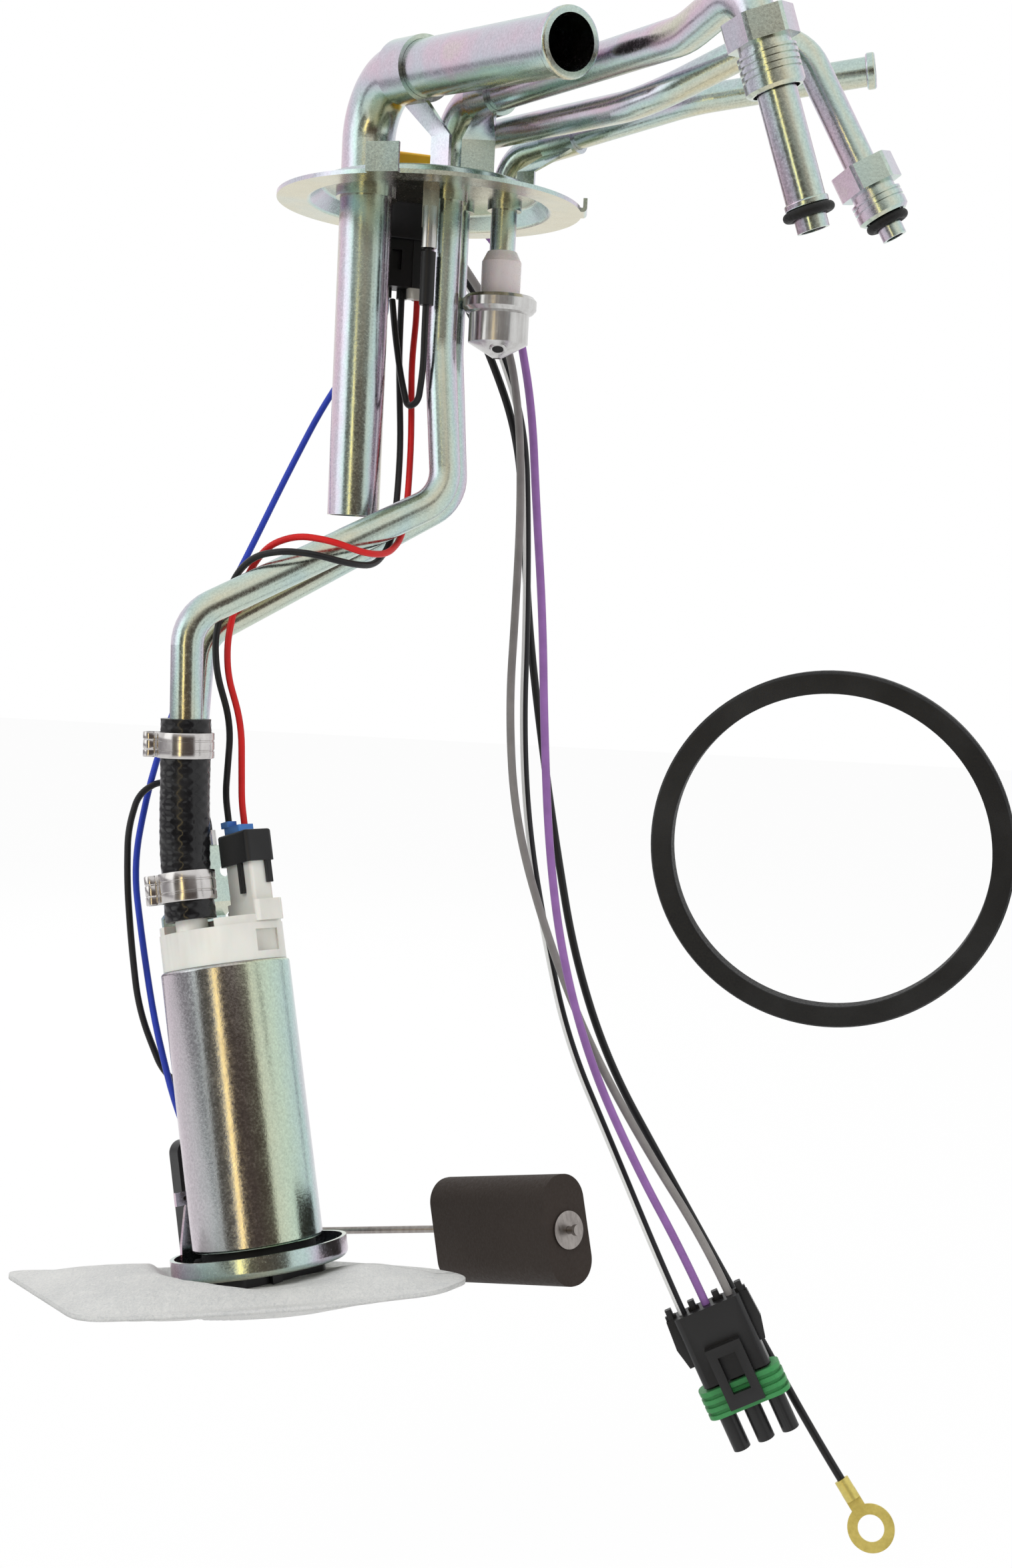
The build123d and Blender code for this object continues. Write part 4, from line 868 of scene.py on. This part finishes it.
@dataclass
class Studio:
    """Plain pale floor, white surround, soft lamps, and cards that only show in gloss."""

    floor_height: float = -0.428
    floor_size: float = 6.0
    floor_colour: Colour = (0.86, 0.86, 0.86)
    floor_roughness: float = 0.9
    floor_white: float = 0.95
    surround: float = 0.50
    aim: Point = (0.0, -0.03, -0.16)
    lamps: tuple[tuple[str, Point, float, float], ...] = (
        ("key", (-0.75, -0.95, 0.75), 0.9, 9.0),
        ("fill", (1.05, -0.75, 0.15), 0.8, 4.0),
        ("top", (0.1, 0.15, 1.15), 0.9, 6.0),
        ("rim", (-0.35, 0.95, 0.35), 0.8, 5.0),
    )
    card_steps: int = 16
    cards: tuple[tuple[str, float, Pair, Pair, Colour], ...] = (
        ("left_window", 1.25, (-84.0, -50.0), (-0.15, 0.75), (1.7, 1.72, 1.7)),
        ("left_flag", 0.80, (-47.0, -24.0), (-0.9, 0.06), (0.16, 0.145, 0.13)),
        ("warm_strip", 0.80, (-19.0, -14.8), (-0.9, 0.22), (4.4, 3.2, 1.05)),
        ("middle_flag", 0.80, (-12.0, 42.0), (-0.9, 0.06), (0.105, 0.085, 0.078)),
        ("upper_flag", 0.80, (-47.0, 42.0), (0.06, 0.20), (0.42, 0.40, 0.39)),
        ("left_ground", 1.25, (-150.0, -52.0), (-1.25, -0.18), (0.40, 0.385, 0.40)),
    )

    def build(self) -> None:
        """Makes floor, surround, cards and lamps."""
        self.floor()
        self.world()
        for card in self.cards:
            self.card(*card)
        for lamp in self.lamps:
            self.lamp(*lamp)

    def lamp(self, name: str, seat: Point, size: float, power: float) -> None:
        """Hangs a soft round lamp that gloss doesn't mirror.

        Args:
            name: the lamp's name.
            seat: its place in metres.
            size: its diameter in metres.
            power: its power in watts.
        """
        data = bpy.data.lights.new(name, "AREA")
        data.shape = "DISK"
        data.size = size
        data.energy = power
        lamp = linked(name, data)
        lamp.visible_glossy = False
        lamp.location = seat
        lamp.rotation_euler = (Vector(self.aim) - Vector(seat)).to_track_quat("-Z", "Y").to_euler()

    def card(self, name: str, reach: float, turn: Pair, level: Pair, glow: Colour) -> None:
        """Stands a tall curved card round the camera's side, which only shows in glossy surfaces.

        Args:
            name: the card's name.
            reach: how far it stands from the row's origin, in metres.
            turn: its left and right edges, in degrees from the camera's side.
            level: heights of its foot and its head, in metres.
            glow: how bright it looks.
        """
        vertices = []
        for degrees in np.linspace(*turn, self.card_steps + 1):
            angle = math.radians(degrees)
            vertices += [Vector((reach * math.sin(angle), -reach * math.cos(angle), height)) for height in level]
        faces = [(2 * n, 2 * n + 1, 2 * n + 3, 2 * n + 2) for n in range(self.card_steps)]
        made = link_mesh(name, vertices, faces)
        made.data.materials.append(Recipe(name + "_face").done(
            Base_Color=(0, 0, 0), Specular_IOR_Level=0.0, Emission_Color=tuple(c / max(glow) for c in glow),
            Emission_Strength=max(glow)))
        for ray in ("visible_camera", "visible_diffuse", "visible_shadow", "visible_transmission"):
            setattr(made, ray, False)

    def floor(self) -> None:
        """Lays the floor: pale, with most of its own white towards the camera."""
        half = self.floor_size / 2
        corners = ((-half, -half), (half, -half), (half, half), (-half, half))
        plane = link_mesh("floor", [Vector((x, y, self.floor_height)) for x, y in corners], [(0, 1, 2, 3)])
        recipe = Recipe("pale_floor")
        recipe.done(Base_Color=self.floor_colour, Roughness=self.floor_roughness)
        glow = recipe.node("ShaderNodeEmission", {"Color": (1, 1, 1), "Strength": 1.0})
        share = recipe.reckon("MULTIPLY", recipe.seen(), self.floor_white)
        mix = recipe.node("ShaderNodeMixShader", {
            "Fac": share, 1: recipe.shader.outputs["BSDF"], 2: glow.outputs["Emission"]})
        recipe.feed(recipe.output.inputs["Surface"], mix.outputs[0])
        plane.data.materials.append(recipe.material)

    def world(self) -> None:
        """Makes the surround: white to the eye, softer as a light."""
        world = bpy.data.worlds.new("white_surround")
        bpy.context.scene.world = world
        nodes = Nodes(world)
        strength = nodes.between(nodes.seen(), (self.surround, 1.0), (0.0, 1.0))
        background = nodes.node("ShaderNodeBackground", {"Color": (1, 1, 1), "Strength": strength})
        nodes.node("ShaderNodeOutputWorld", {"Surface": background.outputs["Background"]})


@dataclass
class Lead:
    """One free lead of the harness: its route in millimetres, its finish and what it carries."""

    node: str
    slot: str
    far_end: str
    carries: tuple[str, ...]
    route: tuple[Point, ...]
    radius: float = 1.35
    steps: int = 14
    bevel_steps: int = 5

    def build(self, finishes: Finishes) -> Piece:
        """Args:
            finishes: the module's finishes.

        Returns:
            The lead's object.
        """
        points = [Vector(point) * MM for point in self.route]
        data = smooth_curve(self.node + "_line", points, self.steps)
        data.bevel_depth = self.radius * MM
        data.bevel_resolution = self.bevel_steps
        data.use_fill_caps = True
        made = finishes.settle(linked(self.node + "_line", data), self.slot, self.node)
        run(smooth_line(points, self.steps))
        return made


@dataclass
class PumpPlace:
    """The slanted pump's own origin and axes, in the row frame."""

    origin: Point = (-33.4, -47.3, -305.2)
    across: Point = (0.7567, 0.6538, -0.0084)
    depth: Point = (-0.6261, 0.7209, -0.2972)
    up: Point = (-0.1883, 0.2301, 0.9548)

    def at(self, x: float, y: float, z: float) -> Vector:
        """Point of the pump's own axes, given in millimetres, in metres."""
        return (Vector(self.origin) + Vector(self.across) * x + Vector(self.depth) * y + Vector(self.up) * z) * MM


@dataclass
class BraidedHose:
    """Rubber hose between supply tube and pump, its skin raised in the knobs of the braided cover under it."""

    place: PumpPlace
    outer: float = 7.5
    inner: float = 4.95
    relief: float = 0.62
    carriers: int = 9
    plies: int = 5
    pitch: float = 3.3
    level: float = 0.38
    knob: Pair = (0.30, 1.3)
    thread: float = 0.015
    drift: Point = (0.16, 3.2, 420.0)
    swell: Point = (0.66, 0.9, 95.0)
    swell_start: float = 7.0
    around: int = 208
    rows: int = 240
    top: Point = (-62.28, -31.28, -154.29)
    outlet: Pair = (-12.7, -5.1)
    outlet_levels: Point = (114.0, 108.0, 95.2)
    bend: float = 0.007
    steps: int = 24

    def route(self) -> list[Vector]:
        """Lays the hose from the supply tube down to the cap.

        Returns:
            The line's points, in metres.
        """
        over, mouth, foot = (self.place.at(*self.outlet, level) for level in self.outlet_levels)
        top = Vector(self.top) * MM
        near = over + (top - over).normalized() * self.bend
        return [Vector(point) for point in evenly(smooth_line([top, near, mouth, foot], self.steps), self.rows)]

    def cloud(self, most: float, across: float, along: float, turn: float, travel: float,
              start: float = 0.0) -> float:
        """Cloudy unevenness of the skin.

        Args:
            most: its size.
            across: how quickly it changes round the hose.
            along: how quickly it changes along it.
            turn: place round the hose, as a share of a full turn.
            travel: place along the hose, in metres.
            start: shift that gives each cloud its own form.

        Returns:
            The unevenness.
        """
        angle = FULL_TURN * turn
        seat = Vector((math.cos(angle) * across, math.sin(angle) * across, travel * along + start))
        return most * noise.noise(seat)

    def height(self, turn: float, travel: float) -> float:
        """Height of the knobbly skin over its ground, from 0 to 1.

        Args:
            turn: place round the hose, as a share of a full turn.
            travel: place along the hose, in metres.

        Returns:
            The height as a share of the relief.
        """
        drift = self.cloud(*self.drift, turn, travel)
        swell = self.cloud(*self.swell, turn, travel, self.swell_start)
        right, left = (turn * self.carriers + side * travel / (self.pitch * MM) for side in (1, -1))
        knobs = 0.5 + 0.25 * (wave(right + drift) + wave(left + drift))
        thread = self.thread * wave(self.plies * right) * wave(self.plies * left)
        return clamped(self.knob[0] * knobs ** self.knob[1] + thread + self.level + swell)

    def build(self, finishes: Finishes) -> Piece:
        """Makes the hose: its skin from end to end, closed by the bore.

        Args:
            finishes: the module's finishes.

        Returns:
            The hose.
        """
        line = self.route()
        frames = carried_frames(line, Vector((1, 0, 0)))
        length = run(line)
        skin = [(row, length * row / (self.rows - 1)) for row in range(self.rows)]
        vertices = []
        for row, travel in ((0, None), *skin, (self.rows - 1, None)):
            side, other = frames[row]
            for step, (x, y) in enumerate(circle(self.around)):
                radius = self.inner
                if travel is not None:
                    radius = self.outer - self.relief + self.relief * self.height(step / self.around, travel)
                vertices.append(line[row] + (side * x + other * y) * (radius * MM))
        hose = link_mesh("braided_hose", vertices, ring_faces(self.rows + 2, self.around, closed=True))
        return finishes.settle(hose, "hose_braid", "fuel_hose")


@dataclass
class EarClamp:
    """Stainless ear clamp: a grooved band round the hose, and its folded ear with the pinch of the pliers."""

    node: str
    line: list[Vector]
    width: float
    inner: float = 7.62
    half: float = 0.35
    ear: tuple[Pair, ...] = ((0.55, 1.55), (1.25, 1.15), (2.0, 1.75), (3.1, 2.15), (4.15, 1.75), (4.7, 0.75))
    gap: float = 1.25
    fold: Pair = (1.6, 3.0)
    pinch: float = 0.42
    jaw: float = 1.3
    facing: Point = (-1.0, 0.1, 0.0)
    band_steps: int = 90
    ear_steps: int = 5
    sharp: float = 40.0
    strap: tuple[Pair, ...] = (
        (-1.0, -1.0), (-1.0, 1.0), (0.6, 1.0), (1.0, 0.93), (1.0, 0.46), (0.55, 0.42), (0.55, 0.34), (1.0, 0.30),
        (1.0, -0.30), (0.55, -0.34), (0.55, -0.42), (1.0, -0.46), (1.0, -0.93), (0.6, -1.0))

    def section(self) -> list[Vector]:
        """Draws the middle line of the band and its ear, in the plane across the hose.

        Returns:
            The line's points, in millimetres.
        """
        middle = self.inner + self.half
        low_side = [(x, -y) for x, y in self.ear]
        rise = [Vector((self.inner + x, y, 0)) for x, y in (*low_side, *reversed(self.ear))]
        start = math.asin(self.ear[0][1] / middle) * self.gap
        turns = np.linspace(start, FULL_TURN - start, self.band_steps)
        band = [Vector((middle * math.cos(turn), middle * math.sin(turn), 0)) for turn in turns]
        return band + smooth_line([band[-1], *rise, band[0]], self.ear_steps)[1:-1]

    def build(self, finishes: Finishes) -> Piece:
        """Makes the clamp.

        Args:
            finishes: the module's finishes.

        Returns:
            The clamp.
        """
        low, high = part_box(self.node)
        level = (low[2] + high[2]) / 2
        spot = min(range(1, len(self.line) - 1), key=lambda k: abs(self.line[k].z - level))
        along = (self.line[spot + 1] - self.line[spot - 1]).normalized()
        left = squared(Vector(self.facing), along)
        side = along.cross(left)
        points = self.section()
        vertices = []
        for number, point in enumerate(points):
            ahead = points[(number + 1) % len(points)] - points[number - 1]
            out = Vector((ahead.y, -ahead.x, 0)).normalized()
            for thick, share in self.strap:
                place, across = point + out * thick * self.half, share * self.width / 2
                folded = place.x > self.inner + self.fold[0] and abs(place.y) < self.fold[1]
                pinch = 1 - self.pinch * math.exp(-((across / self.jaw) ** 2)) if folded else 1.0
                vertices.append(self.line[spot] + (left * place.x + side * place.y * pinch + along * across) * MM)
        faces = ring_faces(len(points), len(self.strap), closed=True)
        made = link_mesh(self.node.replace("_hose_clamp", "_ear_clamp"), vertices, faces, self.sharp)
        return finishes.settle(made, "stainless", self.node)


@dataclass
class StrainerSock:
    """Felt sock: two sheets of felt, welded along a flat rim, filled out by the frame inside."""

    place: PumpPlace
    origin: Point = (-31.5, -60.5, -315.3)
    across: Point = (0.965, 0.262, -0.049)
    up: Point = (0.0, 0.18477, 0.98278)
    outline: tuple[Pair, ...] = ((-70, 30), (-51, -31.5), (15, -31), (48, -20), (63, -2), (56, 10), (20, 28))
    centre: Pair = (-4.0, -1.0)
    corner: float = 8.0
    corner_steps: int = 9
    height: float = 9.5
    rim: float = 3.2
    rim_height: float = 1.3
    swell: float = 15.0
    crown: float = 0.8
    rings: int = 34
    gather: float = 1.5
    hub: float = 0.985
    around: int = 320
    lumps: float = 1.1
    layers: tuple[tuple[float, ...], ...] = (
        (0.7, 0.045, 0.06, 0.0, 4.0), (0.28, 0.14, 0.19, 0.0, 9.0), (0.25, 0.02, 0.30, 2.0, 1.0))
    loose: float = 12.0
    tray: Pair = (-3.0, 16.0)
    tray_radius: float = 26.0
    tray_lump: float = 0.15
    ripple: Pair = (0.5, 0.055)
    curl: float = 7.5
    curl_slope: float = 0.037
    seat_level: float = -9.6
    seat_least: float = 0.3
    seat_radius: Pair = (24.5, 33.0)
    hem: float = 9.0
    under: float = 0.68
    fill: float = 0.45

    def __post_init__(self) -> None:
        """Squares the sock's own directions."""
        self.normal = Vector(self.up).normalized()
        self.long = squared(Vector(self.across), self.normal)
        self.wide = self.normal.cross(self.long)

    def edge(self) -> np.ndarray:
        """Rounds the outline's corners.

        Returns:
            Evenly spaced points of the outline, in millimetres.
        """
        points = [np.array(p, float) for p in self.outline]
        line = []
        for before, here, after in zip([points[-1], *points], points, [*points[1:], points[0]]):
            first = here + (before - here) / np.linalg.norm(before - here) * self.corner
            last = here + (after - here) / np.linalg.norm(after - here) * self.corner
            for share in np.linspace(0, 1, self.corner_steps):
                line.append((1 - share) ** 2 * first + 2 * share * (1 - share) * here + share**2 * last)
        return evenly([*line, line[0]], self.around, end=False)

    def profile(self, inset: float) -> float:
        """Half height as a share of the whole, at a distance inside the edge."""
        low, share = self.rim_height / self.height, clamped((inset - self.rim) / self.swell)
        return low + (1 - low) * math.sin(share * math.pi / 2) ** self.crown

    def build(self, finishes: Finishes) -> Piece:
        """Makes the sock, from the lower sheet's middle out to the rim and back to the upper one's.

        Args:
            finishes: the module's finishes.

        Returns:
            The sock.
        """
        edge, centre = self.edge(), np.array(self.centre)
        reach = float(np.linalg.norm(edge - centre, axis=1).min())
        lower = [(-1.0, ring) for ring in reversed(range(self.rings))]
        vertices = []
        for face, ring in (*lower, *((1.0, ring) for ring in range(self.rings))):
            share = (ring / (self.rings - 1)) ** self.gather
            for spot in edge:
                vertices.append(self.lifted(spot + (centre - spot) * share * self.hub, share * reach, face))
        low_hub, high_hub = len(vertices), len(vertices) + 1
        vertices += [self.lifted(centre, reach, face) for face in (-1.0, 1.0)]
        faces = ring_faces(2 * self.rings, self.around)
        last = (2 * self.rings - 1) * self.around
        for step in range(self.around):
            after = (step + 1) % self.around
            faces += [(low_hub, after, step), (last + step, last + after, high_hub)]
        sock = link_mesh("felt_sock", vertices, faces)
        return finishes.settle(sock, "sock_felt", "strainer_sock")

    def lifted(self, flat: np.ndarray, inset: float, face: float) -> Vector:
        """One point of the upper or lower sheet, in metres.

        Args:
            flat: place on the outline's plane.
            inset: distance inside the edge.
            face: 1 for the upper sheet and -1 for the lower.

        Returns:
            The point.
        """
        x, y = float(flat[0]), float(flat[1])
        half, grown = self.height / 2, self.profile(inset)
        lump = sum(share * noise.noise(Vector((x * along, y * over, seed + turn * face)))
                   for share, along, over, seed, turn in self.layers)
        lump *= self.lumps * clamped((inset - self.rim) / self.loose)
        if face > 0 and math.dist((x, y), self.tray) < self.tray_radius:
            lump = min(lump, self.tray_lump)
        level = face * half * grown - half + lump + self.ripple[0] * math.sin(x * self.ripple[1]) * (1 - grown)
        seat = Vector(self.origin) + self.long * x + self.wide * y
        return (seat + self.normal * level + Vector((0, 0, self.raised(seat, x, inset, face)))) * MM

    def raised(self, seat: Vector, along: float, inset: float, face: float) -> float:
        """How far the felt rises over its plane: a little where the tray holds it, more towards its free ends.

        Args:
            seat: point of the sock's plane, in millimetres.
            along: place along the sock.
            inset: distance inside the edge.
            face: 1 for the upper sheet and -1 for the lower.

        Returns:
            The rise in millimetres.
        """
        off = seat - Vector(self.place.origin)
        level = off.dot(Vector(self.place.up))
        out = math.sqrt(max(0.0, off.length_squared - level**2))
        start, end = self.seat_radius
        share = clamped((out - start) / (end - start))
        share = share * share * (3 - 2 * share)
        share = max(share, 1.0 - min(1.0, inset / self.hem), self.under if face < 0 else 0.0)
        held = max(self.seat_least, self.seat_level - level)
        return held + (self.curl + self.curl_slope * along - held) * share


@dataclass
class PlugHood:
    """Black hood of the sender plug, pushed up over the bulkhead connector's spigot."""

    centre: Pair = (-8.5, 21.8)
    turn: float = 18.0
    length: float = 23.2
    width: float = 13.2
    foot: float = -6.4
    head: float = 6.4
    foot_section: tuple[Pair, ...] = ((0.65, 0.2), (0.325, 0.0), (0.15, 0.15), (0.0, 0.5))
    head_section: tuple[Pair, ...] = (
        (0.0, -3.0), (-0.45, -2.8), (-0.5, -1.2), (-0.45, -0.3), (-0.1, 0.0), (0.39, 0.0), (0.65, -0.2))
    around: int = 96

    def ring(self, inset: float, height: float) -> list[Vector]:
        """Points round the hood at one height.

        Args:
            inset: how far inside the outer face.
            height: height in millimetres.

        Returns:
            The points in metres.
        """
        half, radius = (self.length - self.width) / 2, self.width / 2 - inset
        bank = Matrix.Rotation(math.radians(self.turn), 3, "Z")
        middle = Vector((*self.centre, height))
        return [(middle + bank @ Vector((radius * x + math.copysign(half, x), radius * y, 0))) * MM
                for x, y in circle(self.around)]

    def build(self, finishes: Finishes) -> Piece:
        """Makes the hood.

        Args:
            finishes: the module's finishes.

        Returns:
            The hood.
        """
        rims = ((self.foot, self.foot_section), (self.head, self.head_section))
        rings = [self.ring(inset, level + rise) for level, section in rims for inset, rise in section]
        faces = ring_faces(len(rings), self.around, closed=True)
        hood = link_mesh("plug_hood", [point for ring in rings for point in ring], faces)
        return finishes.settle(hood, "black_moulding")


@dataclass
class LineConnector:
    """Line connector turned so that its latch bridge faces the front, with its prongs drawn out."""

    node: Piece
    origin: Point = (105.4, 6.2, -338.6)
    across: Point = (0.88, -0.05, 0.46)
    along: Point = (0.46, -0.13, -0.88)
    prong_end: float = 39.5
    longer: float = 7.0
    sharp: float = 30.0

    def build(self, finishes: Finishes) -> Piece:
        """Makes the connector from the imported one's shape.

        Args:
            finishes: the module's finishes.

        Returns:
            The connector.
        """
        out = Vector(self.along).normalized()
        front = out.cross(squared(Vector(self.across), out))
        middle = Vector(self.origin) * MM
        vertices = []
        for vertex in self.node.data.vertices:
            seat = self.node.matrix_world @ vertex.co
            seat = seat - front * 2 * (seat - middle).dot(front)
            past = (seat - middle).dot(out) > self.prong_end * MM
            vertices.append(seat + out * self.longer * MM if past else seat)
        faces = [tuple(reversed(face.vertices)) for face in self.node.data.polygons]
        made = link_mesh("line_connector", vertices, faces, self.sharp)
        return finishes.settle(made, "black_moulding", "harness_connector")


@dataclass
class DripHole:
    """Pressed drip hole on the front of the valve cup's cone."""

    axis: Pair = (22.2, 12.5)
    turn: float = 2.0
    reach: float = 5.3
    cone_top: Pair = (9.25, -37.0)
    cone_tip: Pair = (1.3, -41.5)
    radius: float = 2.1
    around: int = 40
    lip: tuple[Pair, ...] = ((0.80, 0.05), (0.88, 0.24), (1.0, 0.30), (1.15, 0.18), (1.28, -0.05))
    # Rings of the black disc that stands in for the shade inside the hole: painted shade.
    mouth: tuple[Pair, ...] = ((0.02, 0.12), (0.4, 0.12), (0.85, 0.14))

    def build(self, finishes: Finishes) -> Piece:
        """Makes a raised lip round a black disc that stands in for the shade inside the hole, as painted shade.

        Args:
            The black disc of painted shade.

        Returns:
            The mouth.
        """
        turn = math.radians(self.turn)
        out = Vector((math.sin(turn), -math.cos(turn), 0))
        (top_radius, top_height), (tip_radius, tip_height) = self.cone_top, self.cone_tip
        slope = (out * (top_radius - tip_radius) + Vector((0, 0, top_height - tip_height))).normalized()
        side = slope.cross(out).normalized()
        normal = side.cross(slope).normalized()
        normal = normal if normal.z < 0 else -normal
        height = tip_height + (top_height - tip_height) * (self.reach - tip_radius) / (top_radius - tip_radius)
        middle = Vector((*self.axis, height)) + out * self.reach
        # The mouth is a black disc of painted shade, not a cut hole.
        for name, section, slot in (("lip", self.lip, "tinned_steel"), ("mouth", self.mouth, "black_rubber")):
            vertices = [(middle + (slope * x + side * y) * (self.radius * share) + normal * lift) * MM
                        for share, lift in section for x, y in circle(self.around)]
            made = link_mesh("drip_hole_" + name, vertices, ring_faces(len(section), self.around))
            finishes.settle(made, slot)
        return made


HARNESS = (
    Lead("purple_lead", "purple_sleeve", "connector", ("line_connector", "connector_seal"), (
        (-6.363, 34.639, 13.7), (-8.974, 42.675, 14.1), (14.5, 48.3, 6.0), (24.8, 53.5, -8.0), (28.2, 55.0, -26.0),
        (34.0, 51.5, -52.0), (37.0, 46.0, -84.0), (41.0, 38.5, -120.0), (43.5, 31.5, -158.0), (47.0, 25.5, -196.0),
        (53.0, 20.5, -230.0), (64.0, 17.0, -264.0), (80.5, 12.5, -296.0), (98.05, 8.28, -324.54),
        (107.19, 5.69, -342.03))),
    Lead("grey_lead", "grey_sleeve", "connector", ("line_connector",), (
        (-10.167, 33.403, 13.7), (-12.778, 41.439, 14.1), (-2.5, 51.5, 7.0), (11.0, 57.5, -9.0),
        (24.5, 60.3, -28.0), (30.0, 58.8, -54.0), (32.0, 54.2, -84.0), (32.0, 48.0, -118.0), (31.5, 41.5, -152.0),
        (35.5, 35.0, -188.0), (47.5, 29.0, -224.0), (63.0, 23.5, -258.0), (82.0, 18.0, -289.0),
        (104.85, 8.00, -319.87), (114.45, 5.28, -338.23))),
    Lead("striped_lead", "striped_sleeve", "connector", ("line_connector",), (
        (-13.971, 32.167, 13.7), (-16.582, 40.203, 14.1), (-8.0, 54.0, 7.5), (8.5, 62.0, -8.0),
        (21.8, 65.8, -30.0), (32.0, 64.8, -58.0), (34.5, 60.6, -90.0), (36.0, 54.5, -124.0), (36.5, 48.0, -158.0),
        (40.0, 41.5, -192.0), (47.5, 34.0, -226.0), (56.5, 26.0, -259.0), (72.5, 17.5, -291.0),
        (90.33, 8.82, -327.46), (99.93, 6.11, -345.82))),
    Lead("ground_lead", "black_sleeve", "fitting", ("ring_terminal",), (
        (-17.775, 30.931, 13.7), (-20.386, 38.967, 14.1), (-14.0, 56.0, 7.5), (4.5, 65.0, -8.0),
        (18.4, 70.2, -32.0), (29.8, 69.0, -60.0), (33.5, 64.8, -92.0), (37.0, 59.0, -126.0), (43.0, 52.5, -162.0),
        (50.0, 46.0, -198.0), (58.0, 40.0, -234.0), (71.0, 33.5, -268.0), (91.0, 27.5, -300.0),
        (110.0, 22.0, -330.0), (129.0, 15.0, -359.0), (144.0, 7.0, -382.0), (154.0, 0.0, -395.5))),
)


def main() -> None:
    """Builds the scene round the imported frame."""
    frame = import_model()
    logging.basicConfig(level=logging.INFO, format="%(message)s")
    bpy.context.scene.view_settings.view_transform = "Standard"
    Camera().build()
    finishes = Finishes()
    LineConnector(frame["nodes"]["harness_connector"]).build(finishes)
    for lead in HARNESS:
        LOG.info("lead %s", lead.build(finishes).name)
    finishes.dress_nodes(frame)
    place = PumpPlace()
    hose = BraidedHose(place)
    clamps = (EarClamp("upper_hose_clamp", hose.route(), 7.4), EarClamp("lower_hose_clamp", hose.route(), 8.6))
    for piece in (hose, *clamps, StrainerSock(place), PlugHood(), DripHole()):
        LOG.info("piece %s", piece.build(finishes).name)
    Studio().build()
    bpy.context.view_layer.update()
    LOG.info("dressed %d nodes", len(frame["nodes"]))


if __name__ == "__main__":
    main()
